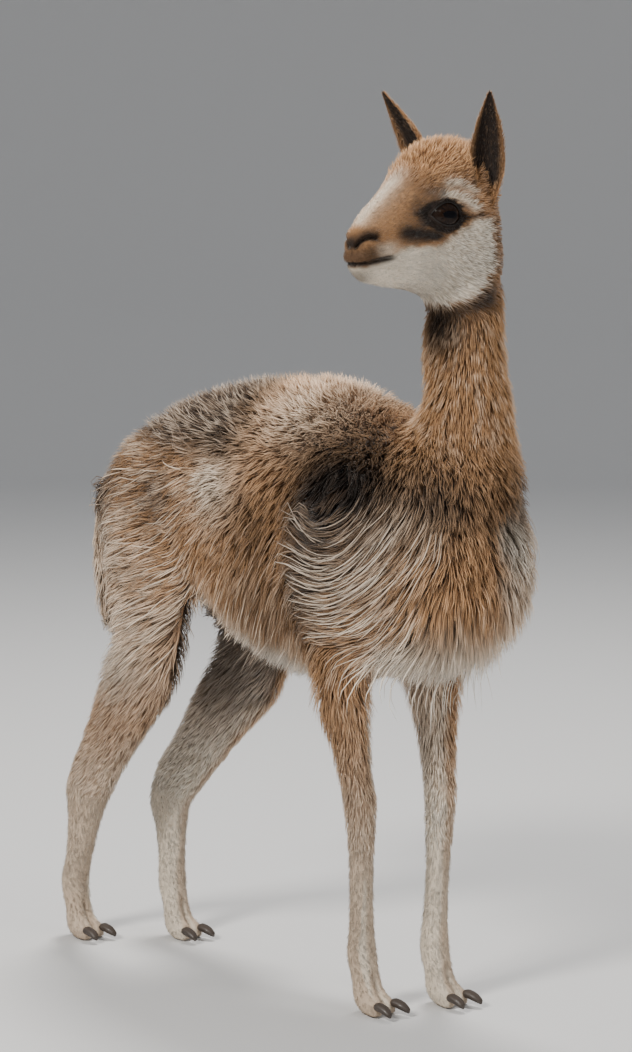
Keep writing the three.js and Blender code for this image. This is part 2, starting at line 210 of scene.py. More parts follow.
def on_eye(side, around, rise, distance):
    """The place at a distance from the eye's middle, back and up over the eyeball."""
    out, back, up = EYE_FRAMES[side]
    radius = EYE_RADIUS * 1000
    a, b = np.asarray(around) / radius, np.asarray(rise) / radius
    flat = np.cos(b)[..., None] * (np.cos(a)[..., None] * out + np.sin(a)[..., None] * back)
    way = flat + np.sin(b)[..., None] * up
    return EYES[side] + way * np.asarray(distance)[..., None] / 1000


def lid_gap(around, rise):
    """How far a place lies outside the eye's opening, negative inside it."""
    half = np.where(rise > 0, LID_TOP, LID_BOTTOM)
    return np.abs(rise) - half * (1 - (around / LID_HALF_WIDTH) ** 2)


def nearest_lid(points):
    """For each point the gap to the nearer eye's opening and its distance from that eye's middle."""
    gap = np.full(len(points), NO_LID)
    far = np.full(len(points), NO_LID)
    for side in EYES:
        distance, around, rise = eye_place(points, side)
        nearer = distance < far
        gap = np.where(nearer, np.where(distance < LID_REACH, lid_gap(around, rise), NO_LID), gap)
        far = np.minimum(far, distance)
    return gap, far


# Ears as the construction has them: root, tip, how far the hollow turns forward, and the side's sign
EAR_WIDTH = 0.049
EAR_THICKNESS = ([-0.3, 0.0, 0.25, 1], [0.0080, 0.0060, 0.0034, 0.0022])  # by the share of the way up
EARS = {
    "left": (from_head(192, 55, 35), from_head(213, 66, 160), 0.75, 1),
    "right": (from_head(186, -46, 46), from_head(170, -82, 172), 1.45, -1),
}


def ear_frame(side):
    """The ear's axis from root to tip, the way its hollow faces, and the way across it."""
    root, tip, turned, sign = EARS[side]
    rise = unit(tip - root)
    hollow = math.cos(turned) * sign * LEFTWARD + math.sin(turned) * FORWARD
    hollow = unit(hollow - rise * dot(hollow, rise))
    return tip - root, hollow, np.cross(hollow, rise)


def ear_place(points, side):
    """Share of the way up the ear, and the distances along its hollow's direction and across."""
    axis, hollow, across = ear_frame(side)
    offset = points - EARS[side][0]
    return offset @ axis / dot(axis, axis), offset @ hollow, offset @ across


def beside_ear(up, deep, wide):
    """Whether points so far up, forward and across belong to this ear."""
    return (np.hypot(deep, wide) < 0.04) & (np.abs(up - 0.5) < 0.6)


def ear_profile(t):
    """Half width, depth and backward bend of the ear's crescent at a share of the way up."""
    t = np.clip(t, 0, 1)
    half = EAR_WIDTH / 2 * (np.sin(math.pi * (0.24 + 0.74 * t)) ** 0.85 * (1 - 0.25 * t) + 0.03) - 0.0015
    return half, np.maximum(half * (0.95 - 0.4 * t), 0.0034), 0.005 * np.sin(math.pi * t)


def ear_round(points, side):
    """Share of the way up the ear, and how far out from its crescent's middle, 1 on its outer face."""
    up, deep, wide = ear_place(points, side)
    half, depth, bend = ear_profile(up)
    return up, np.hypot(wide / half, np.minimum(deep + bend, 0) / depth), np.abs(wide) / half, half


TAIL = np.array([
    (-0.316, 0.031, 0.680, 0.0120), (-0.344, 0.031, 0.675, 0.0130), (-0.372, 0.032, 0.654, 0.0130),
    (-0.388, 0.033, 0.606, 0.0125), (-0.388, 0.032, 0.540, 0.0110), (-0.382, 0.030, 0.475, 0.0075),
])
TAIL_SEAM = (-0.354, 0.031, 0.668)  # where it meets the rump


# Mesh making

def make_object(name, points, faces, smooth=True):
    """An object from points and an array of triangles or quads."""
    mesh = bpy.data.meshes.new(name)
    size = faces.shape[1]
    mesh.vertices.add(len(points))
    mesh.loops.add(faces.size)
    mesh.polygons.add(len(faces))
    mesh.vertices.foreach_set("co", np.ascontiguousarray(points, np.float32).ravel())
    mesh.loops.foreach_set("vertex_index", np.ascontiguousarray(faces, np.int32).ravel())
    mesh.polygons.foreach_set("loop_start", np.arange(0, faces.size, size, dtype=np.int32))
    mesh.update(calc_edges=True)
    mesh.polygons.foreach_set("use_smooth", np.full(len(faces), smooth))
    made = bpy.data.objects.new(name, mesh)
    bpy.context.scene.collection.objects.link(made)
    return made


def set_attribute(made, name, values):
    layer = made.data.attributes.new(name, "FLOAT", "POINT")
    layer.data.foreach_set("value", np.ascontiguousarray(values, np.float32))


def modified(made, kind, **settings):
    """The mesh that a modifier makes of an object, which is then removed."""
    modifier = made.modifiers.new(kind, kind)
    for key, value in settings.items():
        setattr(modifier, key, value)
    depsgraph = bpy.context.evaluated_depsgraph_get()
    mesh = bpy.data.meshes.new_from_object(made.evaluated_get(depsgraph))
    bpy.data.objects.remove(made)
    return mesh


def split_quads(quads):
    return np.concatenate([quads[:, [0, 1, 2]], quads[:, [0, 2, 3]]])


def face_edges(faces):
    """Each pair of neighbouring points once."""
    pairs = np.concatenate([faces[:, [k, (k + 1) % faces.shape[1]]] for k in range(faces.shape[1])])
    return np.unique(np.sort(pairs, 1), axis=0)


def point_normals(points, triangles):
    """Outward normals, each the mean of its triangles' normals by their area."""
    a, b, c = (points[triangles[:, k]] for k in range(3))
    flat = np.cross(b - a, c - a)
    total = np.zeros_like(points)
    for k in range(3):
        for axis in range(3):
            total[:, axis] += np.bincount(triangles[:, k], flat[:, axis], len(points))
    return unit(total)


def relax(values, edges, share, rounds):
    """Each point's values move by its share towards the mean of its neighbours', round after round."""
    a, b = edges.T
    count = np.maximum(np.bincount(edges.ravel(), minlength=len(values)), 1)[:, None]
    share = np.broadcast_to(share, len(values))[:, None]
    for _ in range(rounds):
        total = np.empty_like(values)
        for axis, column in enumerate(values.T):
            sums = np.bincount(a, column[b], len(values)) + np.bincount(b, column[a], len(values))
            total[:, axis] = sums
        values = values + share * (total / count - values)
    return values


def neighbour_table(edges, count, most=9):
    """For each point its own number and those of up to eight neighbours, filled up with its own."""
    both = np.concatenate([edges, edges[:, ::-1]])
    both = both[np.argsort(both[:, 0], kind="stable")]
    place = np.arange(len(both)) - np.searchsorted(both[:, 0], both[:, 0]) + 1
    table = np.repeat(np.arange(count)[:, None], most, 1)
    keep = place < most
    table[both[keep, 0], place[keep]] = both[keep, 1]
    return table


def to_line(points, line):
    """Distance from each point to a line of joined stretches, and how far along it the nearest place is."""
    best = np.full(len(points), np.inf)
    along = np.zeros(len(points))
    passed = 0.0
    for start, end in zip(line[:-1], line[1:]):
        stretch = end - start
        length = np.linalg.norm(stretch)
        t = np.clip((points - start) @ stretch / length**2, 0, 1)
        distance = np.linalg.norm(points - start - t[:, None] * stretch, axis=1)
        nearer = distance < best
        best = np.where(nearer, distance, best)
        along = np.where(nearer, passed + t * length, along)
        passed += length
    return best, along


def smooth_run(stations, count):
    """Rows of numbers read off a smooth curve through the stations, at equal steps (Catmull-Rom)."""
    rows = np.array(stations, float)
    ends = np.concatenate([[2 * rows[0] - rows[1]], rows, [2 * rows[-1] - rows[-2]]])
    place = np.linspace(0, len(rows) - 1, count)
    first = np.minimum(place.astype(int), len(rows) - 2)
    t = (place - first)[:, None]
    a, b, c, d = (ends[first + k] for k in range(4))
    return 0.5 * (2 * b + (c - a) * t + (2 * a - 5 * b + 4 * c - d) * t**2 + (3 * b - a - 3 * c + d) * t**3)


def outward(points, faces):
    """The triangles turned so that they face out of the closed body they make."""
    a, b, c = (points[faces[:, k]] for k in range(3))
    return faces if dot(a, np.cross(b, c)).sum() > 0 else faces[:, ::-1]


def loft(rings):
    """Points and triangles of a closed body through equal rings, its ends fans from their middles."""
    steps, sides = rings.shape[:2]
    points = np.concatenate([rings.reshape(-1, 3), rings[[0, -1]].mean(1)])
    i = np.arange(sides)
    j = (i + 1) % sides
    low = np.arange(steps - 1)[:, None] * sides
    a, b = (low + i).ravel(), (low + j).ravel()
    last = (steps - 1) * sides
    middle = np.full(sides, steps * sides)
    faces = np.concatenate([
        np.stack([a, b, b + sides], 1),
        np.stack([a, b + sides, a + sides], 1),
        np.stack([j, i, middle], 1),
        np.stack([last + i, last + j, middle + 1], 1),
    ])
    return points, outward(points, faces)


def tube(path, across, sizes, sides):
    """Rings of an oval tube: half sizes along `across` and square to it and to the path."""
    forward = unit(np.gradient(path, axis=0))
    fore = unit(np.cross(forward, across))
    side = np.cross(fore, forward)
    angle = np.arange(sides) / sides * 2 * math.pi
    wide = sizes[:, :1, None] * np.cos(angle)[None, :, None] * side[:, None]
    deep = sizes[:, 1:, None] * np.sin(angle)[None, :, None] * fore[:, None]
    return path[:, None] + wide + deep


def together(parts):
    """The points and the faces of several bodies as those of one."""
    counts = np.cumsum([0] + [len(points) for points, _ in parts])
    faces = [corners + count for (_, corners), count in zip(parts, counts)]
    return np.concatenate([points for points, _ in parts]), np.concatenate(faces)


# Where the parts of the body lie, each as a smooth weight from 0 to 1
UNDER_JAW = ([0, 80, 120, 178, 235], [-60, -95, -112, -112, -70])  # above, by places behind the nose tip
LEG_REACH = ([0, 0.3, 0.46, 0.56], [0.09, 0.10, 0.13, 0.10])  # out from the legs' lines, by the height


def head_weight(points):
    """1 on the head and 0 on the neck, parted along the line under the jaw."""
    back, _, above = head_place(points).T
    under = np.interp(back, *UNDER_JAW)
    return ease(above - under, -8, 16) * fade(back, 236, 262)


def neck_weight(points):
    return ease(points[:, 2], 0.70, 0.82) * ease(points[:, 0], 0.22, 0.30) * (1 - head_weight(points))


def leg_weight(points):
    """1 on the free legs, 0 on the trunk, blended over the thighs and shoulders."""
    weight = np.zeros(len(points))
    for axis in LEG_AXES.values():
        distance, _ = to_line(points, axis)
        reach = np.interp(points[:, 2], *LEG_REACH)
        weight = np.maximum(weight, ease(reach - distance, 0, 0.03))
    return weight * fade(points[:, 2], 0.42, 0.50)


def ear_weight(points):
    """1 on the ears above their roots: near the crescent's face and not on the crown beside it."""
    weight = np.zeros(len(points))
    for side in EARS:
        up, out, _, half = ear_round(points, side)
        _, deep, _ = ear_place(points, side)
        face = ease(-np.abs(out - 0.92) * half, -0.0065, -0.0045) * fade(deep, 0.005, 0.007)
        weight = np.maximum(weight, between(up, 0.0, 0.09, 1.1, 1.15) * face)
    return weight


def tail_weight(points):
    distance, _ = to_line(points, TAIL[:, :3])
    return fade(distance, 0.016, 0.021) * fade(points[:, 0], -0.359, -0.339)


def part_weights(points):
    """How far each point belongs to the neck, legs, head, ears and tail, which overlay the trunk in turn."""
    return [weight(points) for weight in (neck_weight, leg_weight, head_weight, ear_weight, tail_weight)]


def overlaid(value, others, weights):
    """A value on the trunk, drawn towards the other parts' values by their weights, one after the other."""
    for other, weight in zip(others, weights):
        value = value + (other - value) * weight
    return value


# How far the skin lies inside the coat's outline, in metres: by the height above the floor, on the head
# by the millimetres behind the nose tip
NECK_DEPTH = ([0.72, 0.80, 0.98], [0.022, 0.013, 0.009])
LEG_DEPTH = ([0, 0.006, 0.08, 0.22, 0.32, 0.40, 0.47], [0, 0.002, 0.003, 0.004, 0.007, 0.013, 0.024])
HEAD_DEPTH = ([0, 25, 70, 120, 180, 235], [0.0006, 0.001, 0.0016, 0.004, 0.007, 0.009])
EAR_DEPTH = 0.0025
TAIL_DEPTH = 0.009
WITHERS_DIP = 0.009  # further in on the ridge before the neck


def coat_depth(points):
    """How far the skin lies inside the coat's outline: deep on the trunk, shallow on the legs and face."""
    height = points[:, 2]
    trunk = 0.026 - 0.004 * fade(height, 0.46, 0.6)
    neck, leg = np.interp(height, *NECK_DEPTH), np.interp(height, *LEG_DEPTH)
    head = np.interp(head_place(points)[:, 0], *HEAD_DEPTH)
    return overlaid(trunk, (neck, leg, head, EAR_DEPTH, TAIL_DEPTH), part_weights(points))


# The skin

def withers(points):
    """1 on the ridge before the neck, where the coat dips."""
    x, _, z = points.T
    return between(x, 0.10, 0.22, 0.30, 0.37) * between(z, 0.75, 0.79, 0.83, 0.88)


def joined_flesh():
    """The flesh nodes and the eyeballs as one mesh with its doubles merged, without the ears and tail."""
    kept = [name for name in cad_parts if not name.startswith(("nail", "ear", "tail"))]
    meshes = [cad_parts[name].data for name in kept]
    points, faces = together([(mesh_points(mesh), mesh_faces(mesh)) for mesh in meshes])
    points, number = np.unique(np.round(points, 5), axis=0, return_inverse=True)
    faces = number.ravel()[faces]
    return points, faces[(faces != np.roll(faces, 1, axis=1)).all(1)]


def set_points(mesh, points):
    mesh.vertices.foreach_set("co", np.ascontiguousarray(points, np.float32).ravel())
    mesh.update()


def refine(mesh, where):
    """Splits in four every quad that lies where the given weight is over a half."""
    chosen = where(mesh_points(mesh)) > 0.5
    picked = chosen[mesh_edges(mesh)].all(1)
    grid = bmesh.new()
    grid.from_mesh(mesh)
    edges = [edge for edge, take in zip(grid.edges, picked) if take]
    bmesh.ops.subdivide_edges(grid, edges=edges, cuts=1, use_grid_fill=True)
    bmesh.ops.triangulate(grid, faces=[face for face in grid.faces if len(face.verts) > 4])
    grid.to_mesh(mesh)
    grid.free()


def triangulate(mesh):
    grid = bmesh.new()
    grid.from_mesh(mesh)
    bmesh.ops.triangulate(grid, faces=grid.faces)
    grid.to_mesh(mesh)
    grid.free()
    return mesh_faces(mesh)


def base_skin():
    """The flesh remeshed on a grid, rounded, and drawn in along its normals by the coat's depth."""
    mesh = modified(make_object("flesh", *joined_flesh()), "REMESH", mode="VOXEL", voxel_size=SKIN_CELL)
    points, quads = mesh_points(mesh), mesh_faces(mesh)
    edges = face_edges(quads)
    slim = np.maximum(leg_weight(points), head_weight(points))
    points = relax(points, edges, 0.5 - 0.38 * slim, 26)
    normals = relax(point_normals(points, split_quads(quads)), edges, 0.5, 6)
    points = points - unit(normals) * (coat_depth(points) + WITHERS_DIP * withers(points))[:, None]
    points = relax(points, edges, 0.4 - 0.3 * slim, 10)
    set_points(mesh, points)
    return mesh


def face_place(points):
    """1 on the whole head and the feet, which are refined once."""
    feet = fade(points[:, 2], 0.08, 0.10)
    return np.maximum(head_weight(points), feet)


def fine_place(points):
    """1 about the eyes, nostrils and mouth, which are refined twice."""
    back, left, above = head_place(points).T
    eyes = bell(np.hypot(back - EYE_BACK * 1000, above - EYE_ABOVE * 1000), 44) * (np.abs(left) > 20)
    muzzle = fade(back, 50, 58) * head_weight(points)
    return np.maximum(eyes > 0.5, muzzle)


def finest_place(points):
    """1 along the lids' edges, the mouth and the nostrils, which are refined three times."""
    gap, far = nearest_lid(points)
    lids = (np.abs(gap) < 5) & (far < 34)
    mouth = to_line(folded(points), MOUTH)[0] < 5
    nostril = to_line(folded(points), NOSTRIL)[0] < 7
    return (lids | mouth | nostril).astype(float)


# Lines on the right and left of the head alike, in millimetres behind the nose tip, out to the side, above
MOUTH = np.array([
    (1, 0, -15), (2, 8, -14.5), (5, 16, -14), (12, 22, -13.5),
    (20, 24.5, -13.5), (32, 27, -14), (44, 28.5, -15), (53, 30, -14),
])
NOSTRIL = np.array([(3, 6, 6), (5, 10, 11.5), (9, 15, 15), (15, 19.5, 16), (22, 23, 13.5)])
CLEFT = np.array([(0.5, 0, 3), (0.5, 0, -14)])
REAR_CORNER = np.array([(146, 53, 13), (162, 56, 10), (178, 56, 10)])
# The next three lines carry painted shade about each eye: in the hollow below and before it, and before and
# above it
DARK_HOLLOW = np.array([(52, 27, 14), (74, 34, 8), (104, 46, -3)])
DARK_BEFORE = np.array([(70, 34, 15), (88, 40, 12), (106, 46, 3)])
DARK_BROW = np.array([(80, 34, 30), (98, 40, 44), (116, 46, 48)])
BROW_LIGHT = np.array([(122, 49, 46), (140, 52, 42), (156, 55, 32), (168, 56, 21)])
UPPER_LIGHT = np.array([(132, 46, 57), (152, 50, 54), (171, 52, 41)])
CHEEKBONE = np.array([(86, 38, -7), (110, 47, -10), (140, 55, -8), (168, 57, -2)])
BROW = np.array([(94, 40, 36), (106, 43, 44), (124, 48, 47), (142, 52, 42), (152, 55, 33)])
TEAR = np.array([(98, 45, 21), (90, 41, 12), (80, 37, 6)])
NASAL = np.array([(22, 9, 33), (60, 12, 55), (100, 18, 77)])
JAWLINE = np.array([(60, 22, -50), (100, 34, -66), (140, 44, -84)])

# Forms of the face: height and width in millimetres along a line or about a point, and for some how far
# behind the nose tip they fade out
FACE_FORMS = (
    (-4.5, 1.7, MOUTH, 34, 56),
    (2.0, 5, MOUTH + (0, 0, 6.5)),
    (1.6, 4, MOUTH + (1, 0, -6), 40, 60),
    (-1.7, 1.5, CLEFT),
    (2.2, 8, (3, 9, -6)),
    (-6.5, 2.3, NOSTRIL),
    (1.7, 4.2, NOSTRIL + (1, -1.5, 5.5)),
    (1.0, 4, NOSTRIL - (0, 0, 6)),
    (3.2, 13, (6, 0, -31)),
    (-1.6, 10, (40, 27, 8)),
    (1.2, 5, NASAL),
    (2.4, 13, (2, 0, 16)),
    (2.6, 8, CHEEKBONE),
    (-1.4, 7, CHEEKBONE - (0, -1, 15)),
    (4.4, 7.5, BROW),
    (-2.4, 3.2, TEAR),
    (-3.0, 18, (168, 52, 54)),
    (2.5, 26, (168, 52, -38)),
    (1.5, 7, JAWLINE),
)


def folded(points):
    """Head measures with both sides laid on one."""
    place = head_place(points)
    place[:, 1] = np.abs(place[:, 1])
    return place


def near_form(place, form, width):
    """A smooth hump along a line of joined stretches or about a single point."""
    far = to_line(place, form)[0] if np.ndim(form) > 1 else np.linalg.norm(place - form, axis=1)
    return bell(far, width)


def sculpt_face(points, normals):
    """Raises and sinks the head's skin along its normals, after the jaw is drawn in a little."""
    place = folded(points)
    back, out, above = place.T
    jaw = ease(-15 - 0.16 * back - above, 0, 8) * fade(back, 40, 75) * head_weight(points)
    shift = np.sign(head_place(points)[:, 1]) * -0.11 * out * jaw
    points = points + (shift[:, None] * LEFTWARD) / 1000
    height = 2.6 * bell(back - 34, 26) * bell(out, 14) * ease(above, 12, 26)
    for rise, width, form, *ends in FACE_FORMS:
        hump = rise * near_form(place, form, width)
        height += hump * fade(back, *ends) if ends else hump
    return points + normals * (height * head_weight(points))[:, None] / 1000


def sculpt_lids(points):
    """Draws the skin over each eyeball into lids: behind it within the opening, just outside it beyond."""
    for side in EYES:
        distance, around, rise = eye_place(points, side)
        gap = lid_gap(around, rise)
        wanted = np.interp(gap, *LID_SHAPE)
        share = fade(gap, 8, 21) * fade(distance, 34, 46) * ease(around, -62, -50)
        share = share * ease(45 - np.abs(around), 0, 12)
        moved = on_eye(side, around, rise, wanted)
        points = points + share[:, None] * (moved - points)
    return points


def sculpt_legs(points, normals):
    """Parts the toes, hollows the cannons and rounds the fetlocks."""
    height = np.zeros(len(points))
    for axis in LEG_AXES.values():
        bend, fetlock = axis[1:3]
        near = to_line(points, axis)[0] < 0.08
        x, y, z = (points - fetlock).T
        toes = ease(x, 0.004, 0.02) * fade(z, -0.03, -0.012)
        height -= near * 0.006 * toes * bell(y, 0.0035)
        along = np.clip((points[:, 2] - fetlock[2]) / (bend[2] - fetlock[2]), 0, 1)
        middle = fetlock[0] + along * (bend[0] - fetlock[0])
        groove = bell(points[:, 0] - middle + 0.006, 0.005) * ease(along, 0.08, 0.25)
        groove = groove * fade(along, 0.7, 0.9)
        height -= near * 0.0022 * groove
        height += near * 0.0015 * bell(np.linalg.norm(points - fetlock, axis=1), 0.022)
    return points + normals * height[:, None]


def ear_shell(side):
    """The ear: crescents from below the skin to the tip, as wide as a leaf, thinning towards tip and rim."""
    axis, hollow, across = ear_frame(side)
    t = np.concatenate([np.linspace(-0.30, -0.05, 7), np.linspace(0, 0.985, 30)])
    half, depth, bend = ear_profile(t)
    thick = np.interp(t, *EAR_THICKNESS)
    centre = EARS[side][0] + t[:, None] * axis - bend[:, None] * hollow
    centre = centre + np.maximum(-t, 0)[:, None] * (from_head(178, 0, 25) - EARS[side][0]) * 1.3
    angle = np.linspace(-math.pi / 2, math.pi / 2, 19)
    outer = np.stack([half[:, None] * np.sin(angle), -depth[:, None] * np.cos(angle)], -1)
    angle = angle[-2:0:-1]
    inner_half = np.maximum(half - thick * 0.45, half * 0.4)[:, None]
    inner_depth = np.maximum(depth - thick, depth * 0.25)[:, None]
    inner = np.stack([inner_half * np.sin(angle), -inner_depth * np.cos(angle)], -1)
    flat = np.concatenate([outer, inner], 1)
    return loft(centre[:, None] + flat[..., :1] * across + flat[..., 1:] * hollow)


def tail_shell():
    row = smooth_run(TAIL, 40)
    return loft(tube(row[:, :3], np.array([0.0, 1, 0]), row[:, 3:] * (1, 0.85), 16))


def joined(points, triangles, shells):
    """One closed skin: the body with the ears and the tail grown on, smoothed where they meet it."""
    body = make_object("body", points, triangles)
    others = bpy.data.collections.new("shells")
    made = [make_object("shell", *shell) for shell in shells]
    for shell in made:
        others.objects.link(shell)
    settings = {"operation": "UNION", "operand_type": "COLLECTION", "solver": "MANIFOLD"}
    mesh = modified(body, "BOOLEAN", collection=others, **settings)
    for shell in made:
        bpy.data.objects.remove(shell)
    triangles = triangulate(mesh)
    points = mesh_points(mesh)
    seam = np.zeros(len(points))
    for side in EARS:
        up, deep, wide = ear_place(points, side)
        seam += bell(up - 0.03, 0.10) * ease(-np.hypot(deep, wide), -0.045, -0.035)
    seam += bell(np.linalg.norm(points - TAIL_SEAM, axis=1), 0.03)
    return relax(points, face_edges(triangles), 0.5 * np.minimum(seam, 1), 5), triangles


# How the coat lies: strokes on the side of the trunk, each its place x, z and its direction, in metres
COMB = np.array([
    (-0.370, 0.620, -0.60, -0.80), (-0.300, 0.730, -0.90, -0.45), (-0.156, 0.717, -0.96, -0.22),
    (-0.300, 0.560, -0.80, -0.60), (-0.250, 0.640, -0.93, -0.36), (-0.250, 0.500, -0.75, -0.66),
    (-0.125, 0.696, -0.92, -0.36), (-0.147, 0.657, -0.94, -0.30), (-0.163, 0.613, -0.86, -0.50),
    (-0.048, 0.675, -0.32, -0.95), (-0.073, 0.632, -0.65, -0.75), (-0.016, 0.626, -0.39, -0.92),
    (-0.042, 0.567, -0.60, -0.75), (-0.102, 0.513, -0.80, -0.58), (-0.165, 0.475, -0.85, -0.50),
    (-0.162, 0.584, -0.94, -0.32), (-0.165, 0.546, -0.92, -0.38), (-0.135, 0.420, -0.66, -0.75),
    (-0.039, 0.788, -0.98, -0.21), (0.059, 0.827, -0.97, -0.13), (-0.030, 0.748, -0.94, -0.30),
    (0.065, 0.740, -0.55, -0.83), (0.141, 0.709, -0.20, -0.96), (0.029, 0.618, -0.15, -0.99),
    (0.090, 0.641, -0.19, -0.98), (0.023, 0.550, -0.20, -0.97), (0.063, 0.520, -0.15, -0.98),
    (0.109, 0.536, -0.35, -0.90), (0.158, 0.562, -0.34, -0.92), (0.160, 0.480, -0.25, -0.95),
    (0.202, 0.741, 0.20, -0.95), (0.246, 0.784, 0.10, -0.99), (0.238, 0.692, -0.20, -0.95),
    (0.283, 0.673, -0.90, -0.35), (0.319, 0.706, -0.75, 0.30), (0.327, 0.688, -0.85, -0.38),
    (0.320, 0.631, -0.85, -0.45), (0.266, 0.618, -0.99, -0.10), (0.346, 0.611, -0.65, -0.70),
    (0.290, 0.588, -0.97, -0.20), (0.227, 0.576, -1.00, -0.10), (0.305, 0.551, -0.88, -0.47),
    (0.361, 0.591, -0.55, -0.80), (0.388, 0.591, -0.19, -0.98), (0.250, 0.500, -0.70, -0.65),
    (0.364, 0.660, -0.20, -0.97), (0.338, 0.751, 0.05, -0.99), (0.398, 0.520, -0.30, -0.95),
])
STROKE_REACH = 0.035  # how far along the side a stroke is felt
SWIRL = (0.215, 0.688)  # middle of the shoulder's dark hollow, round which the locks sweep


def comb_lie(points):
    """The mean of the strokes by their nearness on the side view, and round the shoulder's hollow an arc."""
    gap = ((points[:, None, [0, 2]] - COMB[None, :, :2]) ** 2).sum(-1)
    share = np.exp(-gap / (2 * STROKE_REACH**2)) + 1e-9
    flow = share @ COMB[:, 2:] / share.sum(1)[:, None]
    x, z = points[:, 0] - SWIRL[0], points[:, 2] - SWIRL[1]
    far = np.hypot(x, z)
    arc = np.stack([z, -x], -1) / np.maximum(far, 1e-6)[:, None]
    below = ease(x - z, -0.06, 0.0) * between(points[:, 0], 0.13, 0.17, 0.345, 0.385)
    swirl = between(far, 0.015, 0.04, 0.17, 0.21) * below
    flow = flow + 0.92 * swirl[:, None] * (arc - flow)
    return np.stack([flow[:, 0], np.zeros(len(points)), flow[:, 1]], -1)


def leg_lie(points):
    """Down along the nearest leg's line."""
    lie = np.zeros_like(points)
    best = np.full(len(points), np.inf)
    for axis in LEG_AXES.values():
        distance, along = to_line(points, axis)
        ends = np.cumsum(np.linalg.norm(np.diff(axis, axis=0), axis=1))
        stretch = np.clip(np.searchsorted(ends, along + 0.02), 0, len(ends) - 1)
        nearer = distance < best
        best = np.where(nearer, distance, best)
        lie[nearer] = unit(np.diff(axis, axis=0))[stretch[nearer]]
    return lie


def head_lie(points):
    """Back from the nose, sweeping down over the cheeks and up over the crown, and away from the eyes."""
    back, left, above = head_place(points).T
    side = np.sign(left)
    rise = 0.9 * ease(above, 45, 95) * ease(back, 130, 190)
    rise = rise - 0.55 * fade(above, -40, 20) * ease(back, 60, 120)
    lie = -FORWARD + rise[:, None] * ABOVE
    lie = lie + (0.5 * side * fade(back, 5, 30))[:, None] * LEFTWARD
    for eye in EYES.values():
        away = unit(points - eye)
        near = bell(np.linalg.norm(points - eye, axis=1), 0.034)
        lie = lie + near[:, None] * away * 1.2
    return lie


def coat_lie(points, normals):
    """The direction in which the coat lies, flat on the skin."""
    head, neck, leg = head_weight(points), neck_weight(points), leg_weight(points)
    down = np.array([0.0, 0.0, -1.0])
    under = ease(-normals[:, 2], 0.55, 0.85) * (1 - leg)
    others = ((-1.0, 0, 0), down, leg_lie(points), head_lie(points))
    lie = overlaid(comb_lie(points), others, [weight[:, None] for weight in (under, neck, leg, head)])
    for side in EARS:
        up, deep, wide = ear_place(points, side)
        near = ear_weight(points) * beside_ear(up, deep, wide)
        axis, _, across = ear_frame(side)
        lie = lie + near[:, None] * (unit(axis) + (wide * 12)[:, None] * across - lie)
    lie = lie + tail_weight(points)[:, None] * (down - lie)
    lie = lie + 0.10 * np.stack([ripple(points, 0.06, 3 + k) for k in range(3)], -1)
    return unit(lie - normals * dot(lie, normals)[:, None])


# Markings, painted light and shade, and measures of the coat, all worked out from a point's place

# Soft spots on both sides of the trunk, seen from the side: strength, place x and z, half sizes, in metres
# Painted light: lighter fawn where the light falls brightest on the hip, saddle, shoulder locks and near
# thigh
PAINTED_LIGHT_SPOTS = (
    (0.60, -0.005, 0.695, 0.05, 0.045),
    (0.50, 0.12, 0.785, 0.085, 0.045),
    (0.30, 0.31, 0.66, 0.05, 0.045),
    (0.60, -0.24, 0.45, 0.11, 0.09),
    (0.35, -0.27, 0.585, 0.06, 0.04),
)
# Painted shade: darker in the shoulder's hollow, behind the shoulder locks' tips, on the flank and along the
# haunch
PAINTED_SHADE_SPOTS = (
    (1.0, 0.228, 0.705, 0.088, 0.054),
    (0.95, 0.188, 0.60, 0.036, 0.09),
    (0.30, 0.075, 0.65, 0.045, 0.04),
    (0.38, 0.08, 0.56, 0.07, 0.06),
    (0.55, -0.14, 0.67, 0.055, 0.05),
    (0.60, -0.31, 0.67, 0.07, 0.06),
    (0.38, 0.27, 0.60, 0.07, 0.07),
    (0.50, 0.357, 0.69, 0.03, 0.05),
)
# Painted shadow that the tail casts on the rump and thigh behind it
TAIL_SHADE = (0.65, -0.338, 0.56, 0.016, 0.10)
# Edges on the side of the head: places behind the nose tip and above
CHEEK_TOP = ([0, 20, 34, 52, 80, 108, 124, 150, 175, 190], [-17, -15, -12, -6, -10, -14, -4, 4, 8, 2])
CHEEK_REAR = ([-90, -75, -55, -6, 20], [160, 172, 194, 196, 188])
JAW_EDGE = ([0, 80, 125, 150, 175, 195], [-84, -96, -95, -89, -76, -54])
DARK_LIPS = ([0, 30, 55], [6.0, 4.5, 2.5])  # width of the dark along the mouth
# The dark leaf round the eye, dark lid skin with painted shade about it: its middle, its half length and
# half width in millimetres, and its slope
LEAF_MIDDLE = (118, 21)
LEAF_LENGTH = 35
LEAF_WIDTH = 19.5
LEAF_DIP = 0.28


def spots(points, *rows):
    """The sum of soft spots."""
    total = 0
    for strength, x, z, wide, high in rows:
        total = total + strength * bell(np.hypot((points[:, 0] - x) / wide, (points[:, 2] - z) / high), 1.0)
    return total


def ear_hollow(points, normals):
    """On the hollow side of an ear 1 in the middle and a third at the rim, and 0 on its back."""
    hollow = np.zeros(len(points))
    for side in EARS:
        up, deep, wide = ear_place(points, side)
        _, facing, across = ear_frame(side)
        inward = -wide * (normals @ across) + (0.012 - deep) * (normals @ facing)
        _, _, rim, _ = ear_round(points, side)
        near = beside_ear(up, deep, wide)
        hollow = np.where(near, ease(inward, 0.0, 0.004) * (1 - 0.65 * ease(rim, 0.55, 0.95)), hollow)
    return hollow * ear_weight(points)


def inward_turn(points, normals):
    """How far the surface near a leg faces the animal's middle plane, -1 to 1, and 0 away from the legs."""
    inward = np.zeros(len(points))
    for name, axis in LEG_AXES.items():
        outward = -1.0 if name.endswith("right") else 1.0
        distance, _ = to_line(points, axis)
        inward = np.where(distance < 0.12, -outward * normals[:, 1], inward)
    return inward


